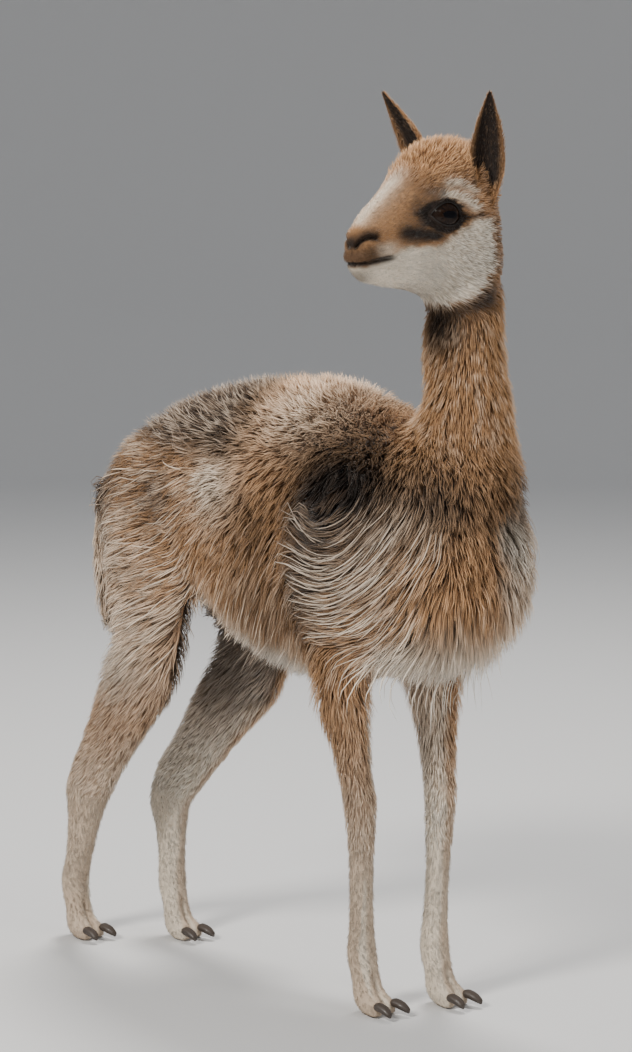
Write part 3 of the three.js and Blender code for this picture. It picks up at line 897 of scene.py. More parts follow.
def pale_marks_and_light(points, normals):
    """1 where the coat is cream: jaw, cheeks, brow, chest fringe, belly and the insides of the legs; paler
    in spots of painted light on the trunk and thighs.
    """
    x, y, z = points.T
    back, left, above = head_place(points).T
    head, leg = head_weight(points), leg_weight(points)
    wander = 0.02 * ripple(points, 0.07, 11)
    belly = 0.8 * ease(-normals[:, 2] + 4 * wander, 0.4, 0.8) * fade(z, 0.50, 0.58)
    front = 0.9 * ease(x + 0.45 * y + wander, 0.385, 0.43) * ease(-z + wander, -0.74, -0.66)
    fringe = 0.8 * ease(x + wander, 0.29, 0.36) * ease(-z + wander, -0.54, -0.48)
    # painted light on the brightest lit spots of the trunk and thighs
    bright = spots(points, *PAINTED_LIGHT_SPOTS)
    trunk = np.maximum.reduce([belly, front, fringe, bright])
    limb = 0.62 * fade(z, 0.16, 0.44) + 0.5 * ease(inward_turn(points, normals), 0.1, 0.7)
    limb = np.clip(np.maximum(limb + 0.06 * ripple(points, 0.05, 13), bright), 0, 1)
    place = folded(points)
    ragged = 4 * ripple(points, 0.018, 12)
    cheek = ease(np.interp(back, *CHEEK_TOP) - above + ragged, -4, 5)
    cheek = cheek * ease(np.interp(above, *CHEEK_REAR) - back + ragged, -9, 9)
    cheek = cheek * ease(above - np.interp(back, *JAW_EDGE) + ragged, -5, 5)
    brow = np.maximum(near_form(place, BROW_LIGHT, 6.5), 0.75 * near_form(place, UPPER_LIGHT, 6))
    bridge = 0.8 * bell(left, 10 + 0.06 * back) * between(back, 8, 22, 84, 112) * ease(above, 10, 26)
    lip = 0.55 * between(back, 12, 24, 34, 62) * fade(above, -2, 10)
    face = np.maximum.reduce([cheek, brow, bridge, lip])
    pale = overlaid(trunk, (limb, face), (leg, head)) * (1 - 0.9 * ear_weight(points))
    return np.clip(np.maximum(pale, 0.45 * tail_weight(points)), 0, 1)


def dark_face(points):
    """1 where the face is darkest: round and before the eyes, with painted shade in the hollows there, about
    the nostrils and along the lips.
    """
    place = folded(points)
    back, out, above = place.T
    behind, over = back - LEAF_MIDDLE[0], above - LEAF_MIDDLE[1]
    along = behind * math.cos(LEAF_DIP) - over * math.sin(LEAF_DIP)
    across = behind * math.sin(LEAF_DIP) + over * math.cos(LEAF_DIP)
    beside = ease(out, 26, 34)
    leaf = ease(LEAF_WIDTH * (1 - (along / LEAF_LENGTH) ** 2) - np.abs(across), -4.5, 1) * beside
    # painted shade in the hollow below and before each eye and before the brow
    hollow = near_form(place, DARK_HOLLOW, 11.5) * beside * ease(above - 0.12 * back, -22, -15)
    shade = np.maximum(0.5 * near_form(place, DARK_BROW, 13), 0.55 * near_form(place, DARK_BEFORE, 12))
    lips = near_form(place, MOUTH, np.interp(back, *DARK_LIPS)) * fade(back, 33, 50)
    return np.clip(np.maximum.reduce([
        leaf,
        0.95 * near_form(place, REAR_CORNER, 3.2),
        hollow,
        shade * beside * (0.85 + 0.35 * ripple(points, 0.016, 21)),
        1.1 * near_form(place, NOSTRIL, 4.6),
        1.1 * near_form(place, NOSTRIL + (3, -4, -2), 4.6),
        lips,
        bell(np.linalg.norm((place - (3, 0, 11)) / (1.25, 1.4, 0.9), axis=1), 12),
        0.85 * near_form(place, NOSTRIL + (0, -2, 2), 8),
        0.6 * fade(back, 10, 38) * between(above, -16, -9, -4, 16),
        0.8 * near_form(place, CLEFT, 1.8),
        0.5 * near_form(place, (3, 0, -30), 14),
    ]), 0, 1)


def dark_marks_and_shade(points, normals):
    """1 where the coat is darkest: on the face, the nape and rump, and painted shade in hollows, folds, ears
    and under the jaw.
    """
    back, left, above = head_place(points).T
    head, tail = head_weight(points), tail_weight(points)
    x, _, z = points.T
    rump = ease(z, 0.71, 0.76) * fade(x, -0.02, 0.07)
    # painted shade in the trunk's spots and painted shadow behind the tail, with the darker rump
    body = spots(points, *PAINTED_SHADE_SPOTS) + 0.80 * rump + spots(points, TAIL_SHADE) * (1 - tail)
    # Painted shade between the thighs: on their inner faces and the groin, streaked
    groin_shade = fade(x, -0.07, -0.03) * between(z, 0.30, 0.42, 0.57, 0.62)
    stripes = 0.55 + 0.35 * ease(z, 0.46, 0.56) + 0.25 * ripple(points, 0.03, 22)
    groin_shade = stripes * groin_shade * ease(inward_turn(points, normals), -0.1, 0.4)
    nape = 0.70 * bell(back - 222, 27) * bell(left - 12, 44)
    nape = nape * between(above, -210, -70, 20, 90)
    # Painted shadow under the jaw: on the throat, and on the head below the jaw's edge
    throat_shadow = 0.9 * near_form(head_place(points), (122, 6, -120), 36)
    below = 0.8 * ease(np.interp(back, *JAW_EDGE) - above, -3, 9)
    below = below * between(back, 84, 104, 170, 196)
    dark = np.maximum.reduce([body, groin_shade, nape, throat_shadow]) * (1 - head)
    dark = dark + np.maximum.reduce([dark_face(points), nape, below]) * head
    # Painted shade in the ears' hollows, lighter towards the rim; the rest of each ear only a little darker
    ear_shade = np.maximum(ear_hollow(points, normals), 0.08)
    dark = np.clip(overlaid(dark, [ear_shade], [ear_weight(points)]), 0, 1)
    return (1 - (1 - dark) ** 1.7) * (1 - 0.4 * tail)


# Tufts on the legs by the height above the floor
LEG_LENGTH = ([0, 0.08, 0.2, 0.3, 0.45], [0.006, 0.009, 0.012, 0.021, 0.044])
LEG_WIDTH = ([0, 0.2, 0.45], [0.0011, 0.0013, 0.0018])
LEG_NUMBER = ([0, 0.2, 0.3, 0.45], [200000, 140000, 100000, 84000])


def coat_measures(points, normals):
    """For each point the tufts' sizes and habits.

    length and width are in metres, number is per square metre and spacing is between locks. pull draws
    tufts into locks, curl waves them, mess turns them, hang lets them fall, stand lifts them and streak
    lightens locks.
    """
    x, _, z = points.T
    back, _, above = head_place(points).T
    hollow = ear_hollow(points, normals)
    gap, far = nearest_lid(points)
    saddle = np.maximum(ease(z, 0.70, 0.77), spots(points, (0.9, -0.01, 0.70, 0.07, 0.05)))
    rear = fade(x, -0.02, 0.06)
    haunch = fade(x, -0.12, -0.02) * (1 - saddle)
    shoulder = between(x, 0.16, 0.22, 0.33, 0.37) * fade(z, 0.67, 0.73)
    flank = fade(z, 0.56, 0.64) * ease(x, -0.15, -0.09) * (1 - shoulder)
    fold = spots(points, (1.0, -0.07, 0.56, 0.06, 0.05))
    bib = ease(x, 0.27, 0.36) * fade(z, 0.49, 0.56)
    crown = ease(above, 40, 70) * ease(back, 78, 122)
    muzzle = fade(back, 30, 75)
    belly = fade(z, 0.64, 0.70) * between(x, -0.09, -0.03, 0.12, 0.16)

    length = 0.034 - 0.016 * fold + 0.013 * haunch + 0.018 * shoulder
    length = length + 0.012 * flank - 0.014 * saddle + 0.028 * bib
    head_length = 0.0105 + 0.0085 * crown - 0.0035 * muzzle + 0.004 * fade(above, -50, -10) * (1 - muzzle)
    head_length = head_length * (0.45 + 0.55 * ease(np.where(far < LID_REACH, gap, NO_LID), 2, 14))
    head_number = 450000 - 265000 * ease(back, 100, 118) - 20000 * crown
    leg_length = np.interp(z, *LEG_LENGTH)
    leg_width = np.interp(z, *LEG_WIDTH)
    leg_number = np.interp(z, *LEG_NUMBER)
    ear_length = 0.0085 - 0.004 * ease(z, 1.16, 1.20)
    stand = 0.32 * saddle * (1 - 0.6 * ease(x, 0.08, 0.2))
    number = 77000 + 45000 * saddle + 26000 * belly
    streak = 0.3 * haunch + 0.25 * flank + 0.3 * shoulder + 0.55 * saddle * rear
    weights = part_weights(points)
    measures = {name: overlaid(trunk, others, weights) for name, trunk, *others in (
        # on the trunk, neck, legs, head, ears and tail
        ("length", length, 0.027, leg_length, head_length, ear_length, 0.046),
        ("width", 0.0019 - 0.0002 * saddle, 0.0014, leg_width, 0.0009 + 0.0003 * crown, 0.0009, 0.0019),
        ("curl", 0.3 + 0.9 * saddle, 0.2, 0.15, 0.2 + 0.5 * crown, 0.2, 0.4),
        ("mess", 0.13 + 0.55 * saddle - 0.04 * shoulder, 0.06, 0.12, 0.14 + 0.3 * crown, 0.15, 0.15),
        ("pull", 0.60 - 0.2 * saddle - 0.1 * bib, 0.45, 0.35, 0.3, 0.3, 0.6),
        ("spacing", 0.011 - 0.003 * saddle - 0.002 * saddle * rear, 0.006, 0.007, 0.005, 0.005, 0.01),
        ("hang", 0.45 * flank * (1 - 0.7 * fold) + 0.5 * bib, 0.0, 0.0, 0.0, 0.0, 0.5),
        ("stand", stand, 0.14, 0.0, 0.45 * crown + 0.2 * muzzle, 0.0, 0.0),
        ("streak", streak, 0.25, 0.1, 0.0, 0.12, 0.3),
        ("number", number, 195000, leg_number, head_number, 245000 - 60000 * hollow, 85000),
    )}
    bare = fade(gap, 0.5, 2.0) * (far < 40)
    measures["number"] = measures["number"] * (1 - bare)
    return measures


class Skin:
    """The finished skin with all that the coat reads from it at each of its points."""

    def __init__(self, points, triangles):
        self.points = points
        self.triangles = triangles
        edges = face_edges(triangles)
        self.normals = unit(relax(point_normals(points, triangles), edges, 0.5, 3))
        self.table = neighbour_table(edges, len(points))
        self.lie = coat_lie(points, self.normals)
        self.depth = coat_depth(points)
        self.pale = pale_marks_and_light(points, self.normals)
        self.dark = dark_marks_and_shade(points, self.normals)
        self.measures = coat_measures(points, self.normals)


def scatter(skin, chosen, share, rng):
    """Roots on the chosen triangles, as many on each as its area and the coat's number ask for."""
    corners = skin.triangles[chosen]
    a, b, c = (skin.points[corners[:, k]] for k in range(3))
    area = np.linalg.norm(np.cross(b - a, c - a), axis=1) / 2
    wanted = area * skin.measures["number"][corners].mean(1) * share
    total = int(round(wanted.sum()))
    picked = rng.choice(len(corners), total, p=wanted / wanted.sum())
    weights = rng.dirichlet((1, 1, 1), total)
    return corners[picked], weights


def at_roots(values, corners, weights):
    """A value of the skin's points read at the roots."""
    if values.ndim == 1:
        return (values[corners] * weights).sum(1)
    return (values[corners] * weights[..., None]).sum(1)


def comb_paths(skin, near, root, length, turned, steps):
    """Lines over the skin from each root, near the coat's lie, with their normals and nearest points."""
    here = root
    rows = np.arange(len(root))
    path, normals, nears = [root], [skin.normals[near]], [near]
    for _ in range(steps):
        lie, normal = skin.lie[near], skin.normals[near]
        way = np.cos(turned)[:, None] * lie + np.sin(turned)[:, None] * np.cross(normal, lie)
        ahead = here + way * (length / steps)[:, None]
        for _ in range(4):
            around = skin.table[near]
            gap = ((skin.points[around] - ahead[:, None]) ** 2).sum(-1)
            near = around[rows, gap.argmin(1)]
        normal = skin.normals[near]
        here = ahead - normal * dot(ahead - skin.points[near], normal)[:, None]
        path.append(here)
        normals.append(normal)
        nears.append(near)
    return np.stack(path, 1), np.stack(normals, 1), nears


def nearest(points, normals, seeds, seed_normals):
    """For each point the number of the seed nearest to it in place and in facing."""
    turned = 0.02
    a = np.concatenate([points, normals * turned], 1)
    b = np.concatenate([seeds, seed_normals * turned], 1)
    found = np.empty(len(a), int)
    for start in range(0, len(a), 4000):
        part = a[start:start + 4000]
        found[start:start + 4000] = ((b**2).sum(1)[None] - 2 * part @ b.T).argmin(1)
    return found


# The unwrap: its upright middle lines, the height of the trunk's level one, and a tuft's patch on it
MIDDLE_LINES = {"tail": (-0.386, 0.032), "neck": (0.34, 0.02)}
TRUNK_LINE = 0.62
PATCH = 0.003


def tuft_mesh(name, spine, up, widths, flatness, marks, patch):
    """Three-sided spikes, one along each spine: a ring of three points at each step and a point at the tip.

    A ring has two points half a width out to the left and right, and its ridge a share of the width above.
    """
    count, rings = spine.shape[0], spine.shape[1] - 1
    forward = np.gradient(spine, axis=1)
    side = unit(np.cross(forward, up))[:, :rings]
    ridge = unit(np.cross(side, forward[:, :rings]))
    half = widths[:, :rings, None] / 2
    middle = spine[:, :rings]
    ring = np.stack([middle - side * half, middle + ridge * half * flatness, middle + side * half], 2)
    points = np.concatenate([ring.reshape(count, -1, 3), spine[:, -1:]], 1)
    size = 3 * rings + 1
    faces, spots = [], []
    for j in range(rings - 1):
        for i in range(3):
            k = (i + 1) % 3
            low, high = 3 * j, 3 * (j + 1)
            faces += [(low + i, low + k, high + k), (low + i, high + k, high + i)]
            spots += [((i, j), (i + 1, j), (i + 1, j + 1)), ((i, j), (i + 1, j + 1), (i, j + 1))]
    last = 3 * (rings - 1)
    for i in range(3):
        faces.append((last + i, last + (i + 1) % 3, size - 1))
        spots.append(((i, rings - 1), (i + 1, rings - 1), (i + 0.5, rings)))
    faces.append((2, 1, 0))
    spots.append(((2, 0), (1, 0.5), (0, 0)))
    triangles = (np.array(faces)[None] + size * np.arange(count)[:, None, None]).reshape(-1, 3)
    made = make_object(name, points.reshape(-1, 3), triangles)
    layer = made.data.uv_layers.new(name="OFBake")
    spot = (np.array(spots, float) / (3, rings) - 0.5) * PATCH
    places = patch[:, None, None] + spot[None]
    layer.data.foreach_set("uv", places.astype(np.float32).ravel())
    along = np.append(np.repeat(np.arange(rings), 3), rings) / rings
    set_attribute(made, "along", np.tile(along, count))
    for key, values in marks.items():
        set_attribute(made, key, np.repeat(values, size))
    return made


def leg_turn(points):
    """The number of the nearest leg, and on top of it the share of the way round its line."""
    turns = np.zeros(len(points))
    best = np.full(len(points), np.inf)
    for number, axis in enumerate(LEG_AXES.values()):
        distance, _ = to_line(points, axis)
        u, v, height = axis[::-1].T
        x, y, z = points.T
        angle = np.arctan2(y - np.interp(z, height, v), x - np.interp(z, height, u)) / (2 * math.pi) + 0.5
        turns = np.where(distance < best, angle * 0.9 + number, turns)
        best = np.minimum(best, distance)
    return turns


def unwrap(points, kind):
    """The skin's own unwrap: an angle round the part's middle line, and the distance along it."""
    x, y, z = points.T
    if kind in MIDDLE_LINES:
        u, v = MIDDLE_LINES[kind]
        flat = np.arctan2(y - v, x - u), z
    elif kind == "head":
        back, left, above = head_place(points).T
        flat = np.arctan2(left, above), back
    elif kind == "ear":
        distance = [to_line(points, np.stack(EARS[side][:2]))[0] for side in EARS]
        left = distance[0] < distance[1]
        up, deep, wide = np.where(left, *[np.stack(ear_place(points, side)) for side in EARS])
        flat = np.arctan2(wide, deep + 0.006) / (2 * math.pi) * 0.96 + left, up
    elif kind == "leg":
        flat = leg_turn(points), z
    else:
        flat = np.arctan2(y, z - TRUNK_LINE), x
    flat = np.stack(flat, -1)
    low, high = flat.min(0), flat.max(0)
    return PATCH + (flat - low) / (high - low) * (1 - 2 * PATCH)


TAPER = ([0, 0.25, 0.6, 1], [0.8, 1, 0.7, 0.1])  # a tuft's width from root to tip


def coat_piece(skin, name, chosen, kind, rings, share, seed, stretch=1.0, thick=1.0, lift=0.0, bright=0.0):
    """One piece of the coat: roots, their combed lines drawn into locks, raised off the skin and curled."""
    rng = np.random.default_rng(seed)
    corners, weights = scatter(skin, chosen, share, rng)
    count = len(corners)
    root = at_roots(skin.points, corners, weights)
    normal = unit(at_roots(skin.normals, corners, weights))
    near = corners[np.arange(count), weights.argmax(1)]
    get = {key: at_roots(values, corners, weights) for key, values in skin.measures.items()}
    depth = at_roots(skin.depth, corners, weights)
    chance = rng.uniform(0, 1, count)
    length = get["length"] * stretch * rng.uniform(0.7, 1.2, count)
    turned = get["mess"] * rng.normal(size=count)
    path, normals, nears = comb_paths(skin, near, root, length * (1 - get["stand"]), turned, rings)
    under = nears[(rings + 1) // 2]

    wanted = rng.uniform(0, 1, count) < 1 / (np.maximum(get["number"], 1) * share * get["spacing"] ** 2)
    seeds = np.flatnonzero(wanted)
    lock = nearest(root, normal, root[seeds], normal[seeds])
    lock_chance = rng.uniform(0, 1, len(seeds))[lock]
    s = np.linspace(0, 1, rings + 1)
    pull = get["pull"][:, None] * s**1.2
    scattered = unit(rng.normal(size=(count, 3))) * (get["spacing"] * 0.16)[:, None]
    target = path[seeds][lock] + scattered[:, None]
    path = path + pull[..., None] * (target - path)

    hang = get["hang"][:, None] * s
    fall = root[:, None] + normal[:, None] * (depth * 0.8)[:, None, None] * np.sqrt(s)[None, :, None]
    fall = fall - np.array([0, 0, 1.0]) * (length[:, None] * s)[..., None]
    path = path + hang[..., None] * (fall - path)

    layer = 0.42 + 0.38 * lock_chance + 0.25 * chance + lift
    rise = (depth * layer)[:, None] * (1 - (1 - s) ** 1.7)
    rise = rise + (get["stand"] * length)[:, None] * s - 0.001 * (1 - s)
    path = path + normals * rise[..., None]

    side = unit(np.cross(np.gradient(path, axis=1), normals))
    phase = (rng.uniform(0, 1, count) * 0.4 + lock_chance)[:, None] * 2 * math.pi
    wave = 2 * math.pi * 1.1 * s[None] + phase
    swing = (get["curl"] * np.minimum(length, 0.04) * 0.10)[:, None] * s
    path = path + side * (np.sin(wave) * swing)[..., None]
    path = path + normals * (np.cos(wave) * swing * 0.6)[..., None]

    taper = np.interp(s, *TAPER)
    widths = (get["width"] * thick * rng.uniform(0.7, 1.25, count))[:, None] * taper
    pale = 0.35 * at_roots(skin.pale, corners, weights) + 0.65 * skin.pale[under]
    dark = 0.35 * at_roots(skin.dark, corners, weights) + 0.65 * skin.dark[under]
    lucky = ease(lock_chance + 0.3 * chance, 0.75 - bright, 1.1 - bright)
    streak = np.clip(get["streak"] + bright, 0, 1) * lucky
    marks = {
        "pale": pale + (1 - pale) * streak,
        "dark": dark * (1 - 0.85 * streak),
        "chance": chance,
        "lock": 0.5 + (lock_chance - 0.5) * get["pull"],
    }
    made = tuft_mesh(name, path, normals, widths, 0.8, marks, unwrap(root, kind))
    ride_root(made, "coat_cinnamon", COAT)
    return made


# Materials

class Nodes:
    """A shader's or a group's nodes, each given its inputs as numbers, colours or other nodes' outputs."""

    def __init__(self, tree):
        self.tree = tree

    def feed(self, node, inputs):
        for place, value in inputs.items():
            if isinstance(value, bpy.types.NodeSocket):
                self.tree.links.new(value, node.inputs[place])
            else:
                node.inputs[place].default_value = value

    def add(self, kind, inputs, output=0, **settings):
        node = self.tree.nodes.new("ShaderNode" + kind)
        for key, value in settings.items():
            setattr(node, key, value)
        self.feed(node, inputs)
        return node.outputs[output]

    def ranged(self, value, low, high, start, end):
        return self.add("MapRange", {0: value, 1: low, 2: high, 3: start, 4: end})

    def mixed(self, factor, first, second):
        return self.add("Mix", {0: factor, 6: first, 7: second}, 2, data_type="RGBA")

    def noise(self, scale, detail):
        place = self.add("TexCoord", {}, "Object")
        return self.add("TexNoise", {"Vector": place, "Scale": scale, "Detail": detail}, "Fac")

    def mark(self, name):
        """The piece's own attribute of that name."""
        return self.add("Attribute", {}, "Fac", attribute_name=name)

    def maths(self, operation, *values):
        return self.add("Math", dict(enumerate(values)), operation=operation)


def new_material(name, finish):
    """A material, its nodes and its shader with the plain numbers of the finish set."""
    material = bpy.data.materials.new(name)
    material.use_nodes = True
    made = Nodes(material.node_tree)
    shader = material.node_tree.nodes["Principled BSDF"]
    made.feed(shader, finish)
    return material, made, shader


# Roots darker than tips: partly the underfur's own colour, partly painted shade deep in the coat
CINNAMON_ROOT = (0.180, 0.082, 0.033, 1)
CINNAMON_TIP = (0.620, 0.355, 0.170, 1)
CREAM_ROOT = (0.46, 0.37, 0.27, 1)
CREAM_TIP = (0.94, 0.88, 0.77, 1)
UMBER = (0.016, 0.010, 0.007, 1)
MARKS = ("Along", "Pale", "Dark", "Chance", "Lock")  # the pieces' attributes are the same in small letters


def coat_colour_group():
    """Colour from the marks: root to tip on cinnamon and cream, darker at the roots partly as painted shade,
    mixed by pale, browned by dark, varied; pale and dark carry painted light and shade as well as markings.
    """
    group = bpy.data.node_groups.new("coat_colour_and_shade", "ShaderNodeTree")
    for name in MARKS:
        given = group.interface.new_socket(name=name, in_out="INPUT", socket_type="NodeSocketFloat")
        given.default_value = 0.5
    group.interface.new_socket(name="Color", in_out="OUTPUT", socket_type="NodeSocketColor")
    made = Nodes(group)
    given = group.nodes.new("NodeGroupInput").outputs
    along = made.ranged(given["Along"], 0.0, 0.9, 0.0, 1.0)
    cinnamon = made.mixed(along, CINNAMON_ROOT, CINNAMON_TIP)
    cream = made.mixed(along, CREAM_ROOT, CREAM_TIP)
    colour = made.mixed(given["Dark"], made.mixed(given["Pale"], cinnamon, cream), UMBER)
    for chance, least, most in (
        (given["Chance"], 0.72, 1.25),
        (given["Lock"], 0.78, 1.2),
        (made.noise(14, 3), 0.75, 1.25),
    ):
        strength = made.ranged(chance, 0.0, 1.0, least, most)
        colour = made.add("VectorMath", {0: colour, "Scale": strength}, operation="SCALE")
    made.feed(group.nodes.new("NodeGroupOutput"), {"Color": colour})
    return group


def coat_material(group):
    material, made, shader = new_material("coat", {
        "Roughness": 0.62, "Sheen Weight": 0.12, "Sheen Roughness": 0.4, "Specular IOR Level": 0.25,
    })
    colour = made.add("Group", {name: made.mark(name.lower()) for name in MARKS}, node_tree=group)
    made.feed(shader, {"Base Color": colour})
    return material


def skin_material(group):
    """The coat's colours near its roots, darker as painted shade under the coat, under a fine nap."""
    material, made, shader = new_material("skin", {"Roughness": 0.75, "Specular IOR Level": 0.2})
    nap = made.noise(700, 2)
    marks = {"Along": 0.25, "Pale": made.mark("pale"), "Dark": made.mark("dark"), "Chance": nap}
    bump = made.add("Bump", {"Strength": 0.6, "Distance": 0.0008, "Height": nap})
    made.feed(shader, {"Base Color": made.add("Group", marks, node_tree=group), "Normal": bump})
    return material


def plain_material(name, colour, roughness, clear=0.0):
    finish = {"Base Color": colour, "Roughness": roughness, "Coat Weight": clear, "Coat Roughness": 0.03}
    return new_material(name, finish)[0]


def eye_material():
    """A dark brown iris with a darker rim and a wide level pupil, under a clear wet front."""
    material, made, shader = new_material("eye", {
        "Roughness": 0.3, "Specular IOR Level": 0.0,
        "Coat Weight": 0.6, "Coat Roughness": 0.015, "Coat IOR": 1.33,
    })
    around, rise = made.mark("around"), made.mark("rise")

    def oval(wide, high, power):
        """The shares of the half sizes across and up, each to a power, added: 1 on the oval's edge."""
        shares = [made.maths("DIVIDE", *pair) for pair in ((around, wide), (rise, high))]
        shares = [made.maths("ABSOLUTE", share) for share in shares]
        return made.maths("ADD", *[made.maths("POWER", share, power) for share in shares])

    radius = made.maths("SQRT", oval(1.0, 1.0, 2.0))
    polar = made.add("CombineXYZ", {
        0: made.maths("MULTIPLY", made.maths("ARCTAN2", rise, around), 9.0),
        1: made.maths("MULTIPLY", radius, 0.12),
    })
    streaks = made.add("TexNoise", {"Vector": polar, "Scale": 1.0}, "Fac", noise_dimensions="2D")
    iris = made.add("ValToRGB", {"Fac": streaks})
    shades = ((0.3, (0.004, 0.002, 0.0015, 1)), (0.75, (0.017, 0.008, 0.004, 1)))
    for element, (place, shade) in zip(iris.node.color_ramp.elements, shades):
        element.position = place
        element.color = shade
    edge = made.ranged(radius, 13.0, 16.5, 0.0, 1.0)
    pupil = made.ranged(oval(9.5, 4.6, 2.4), 0.85, 1.15, 1.0, 0.0)
    colour = made.mixed(edge, iris, (0.012, 0.007, 0.005, 1))
    made.feed(shader, {"Base Color": made.mixed(pupil, colour, (0.002, 0.002, 0.003, 1))})
    return material


COAT_COLOUR_GROUP = coat_colour_group()
COAT = coat_material(COAT_COLOUR_GROUP)
SKIN = skin_material(COAT_COLOUR_GROUP)
EYE = eye_material()
RIM = plain_material("lid_rim", (0.008, 0.006, 0.005, 1), 0.62)
LASH = plain_material("lash", (0.014, 0.010, 0.008, 1), 0.4)
HORN = plain_material("horn", (0.045, 0.034, 0.027, 1), 0.5, 0.06)


def build_skin():
    mesh = base_skin()
    for where in (face_place, fine_place, finest_place):
        refine(mesh, where)
        points = mesh_points(mesh)
        set_points(mesh, relax(points, mesh_edges(mesh), 0.35 * where(points), 2))
    triangles = triangulate(mesh)
    points = mesh_points(mesh)
    normals = unit(relax(point_normals(points, triangles), face_edges(triangles), 0.5, 4))
    points = sculpt_face(points, normals)
    points = sculpt_legs(points, normals)
    points = sculpt_lids(points)
    shells = [ear_shell("left"), ear_shell("right"), tail_shell()]
    return Skin(*joined(points, triangles, shells))


def ride_root(made, slot, material, *nodes):
    made.data.materials.append(material)
    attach(made, "root")
    if nodes:
        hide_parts(*nodes)


def show_skin(skin):
    made = make_object("skin", skin.points, skin.triangles)
    set_attribute(made, "pale", skin.pale)
    set_attribute(made, "dark", skin.dark)
    flesh = [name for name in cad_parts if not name.startswith(("eye", "nail"))]
    ride_root(made, "coat_cinnamon", SKIN, *flesh)


def eyeball(side):
    """A ball of rings about the way the eye looks, with the clear front a little raised."""
    out, back, up = EYE_FRAMES[side]
    polar = np.concatenate([np.linspace(0.02, 1.25, 42), np.linspace(1.35, 3.12, 14)])
    angle = np.arange(72) / 72 * 2 * math.pi
    radius = EYE_RADIUS + CORNEA_RISE * fade(polar, 0.45, 0.78)
    ring = np.cos(angle)[:, None] * back + np.sin(angle)[:, None] * up
    rings = np.cos(polar)[:, None, None] * out + np.sin(polar)[:, None, None] * ring[None]
    points, faces = loft(EYES[side] + radius[:, None, None] * rings)
    made = make_object(f"eyeball_{side}", points, faces)
    _, around, rise = eye_place(points, side)
    set_attribute(made, "around", around)
    set_attribute(made, "rise", rise)
    ride_root(made, "eye", EYE, f"eye_{side}")


def lid_edge(share, upper):
    """Places along a lid's edge, from the front corner at 0 to the rear one at 1."""
    around = (2 * share - 1) * LID_HALF_WIDTH
    half = LID_TOP if upper else -LID_BOTTOM
    return around, half * (1 - (around / LID_HALF_WIDTH) ** 2)


def lid_rim(side):
    """The dark moist rims of both lids, as tubes that thin towards the corners."""
    share = np.linspace(0.0, 1.0, 60)
    parts = []
    for upper in (True, False):
        around, rise = lid_edge(share, upper)
        path = on_eye(side, around, rise, np.full(60, RIM_DISTANCE))
        size = np.interp(share, *RIM_SIZE) / 1000
        parts.append(loft(tube(path, EYE_FRAMES[side][0], np.stack([size * 1.25, size], 1), 10)))
    made = make_object(f"lid_rims_{side}", *together(parts))
    ride_root(made, "coat_cinnamon", RIM)


def lashes(side, seed):
    """Long lashes on the upper lid that reach out and down, and short ones on the lower."""
    rng = np.random.default_rng(seed)
    _, back, up = EYE_FRAMES[side]
    s = np.linspace(0, 1, 6)
    spines, widths = [], []
    for upper, count, reach in ((True, 80, 15.0), (False, 46, 6.0)):
        share = rng.uniform(0.10, 0.97, count)
        around, rise = lid_edge(share, upper)
        lift = 0.8 if upper else -0.8
        root = on_eye(side, around, rise + lift, np.full(count, LASH_DISTANCE))
        away = unit(root - EYES[side])
        fan = ((share - 0.45) * 1.5 + rng.normal(size=count) * 0.12)[:, None] * back
        way = unit(0.9 * away + fan + (0.15 if upper else -0.6) * up)
        droop = (-0.55 if upper else 0.25) * up
        length = (reach * rng.uniform(0.7, 1.1, count) * (0.65 + 0.6 * share))[:, None, None] / 1000
        line = s[None, :, None] * way[:, None] + (s**2)[None, :, None] * droop
        spines.append(root[:, None] + length * line)
        widths.append(np.full(count, 0.42 if upper else 0.30))
    spine = np.concatenate(spines)
    width = np.concatenate(widths)[:, None] / 1000 * (1 - 0.8 * s)
    patch = np.stack([rng.uniform(0.02, 0.98, len(spine)), np.linspace(0.02, 0.98, len(spine))], 1)
    made = tuft_mesh(f"lashes_{side}", spine, np.broadcast_to(up, spine.shape), width, 0.9, {}, patch)
    ride_root(made, "coat_cinnamon", LASH)


# Half sizes of a nail at places from its root to its tip, in metres
NAIL_PLACES = [0, 0.15, 0.5, 0.85, 1]
NAIL_WIDE = [0.0062, 0.0078, 0.0072, 0.0042, 0.0011]
NAIL_DEEP = [0.0050, 0.0060, 0.0056, 0.0034, 0.0009]


def nail(name):
    """A horn over the toe: it widens from its root, arches over and ends in a blunt worn tip."""
    points = node_points(name)
    low, high = points.min(0), points.max(0)
    middle = (low + high) / 2
    out = 0.0010 if name.endswith("left") else -0.0010
    path = smooth_run([
        (low[0] - 0.001, middle[1] - out, high[2] - 0.0065),
        (low[0] + 0.006, middle[1] - out * 0.5, high[2] - 0.0062),
        (middle[0] + 0.002, middle[1], high[2] - 0.0085),
        (high[0] - 0.0045, middle[1] + out, low[2] + 0.0068),
        (high[0] - 0.0008, middle[1] + out * 1.3, low[2] + 0.0028),
    ], 22)
    along = np.linspace(0, 1, 22)
    wide, deep = (np.interp(along, NAIL_PLACES, sizes) for sizes in (NAIL_WIDE, NAIL_DEEP))
    ridges = 1 + 0.012 * np.sin(along * 60)
    rings = tube(path, np.array([0.0, 1, 0]), np.stack([wide * ridges, deep * ridges], 1), 24)
    made = make_object("horn_" + name, *loft(rings))
    ride_root(made, "nail", HORN, name)


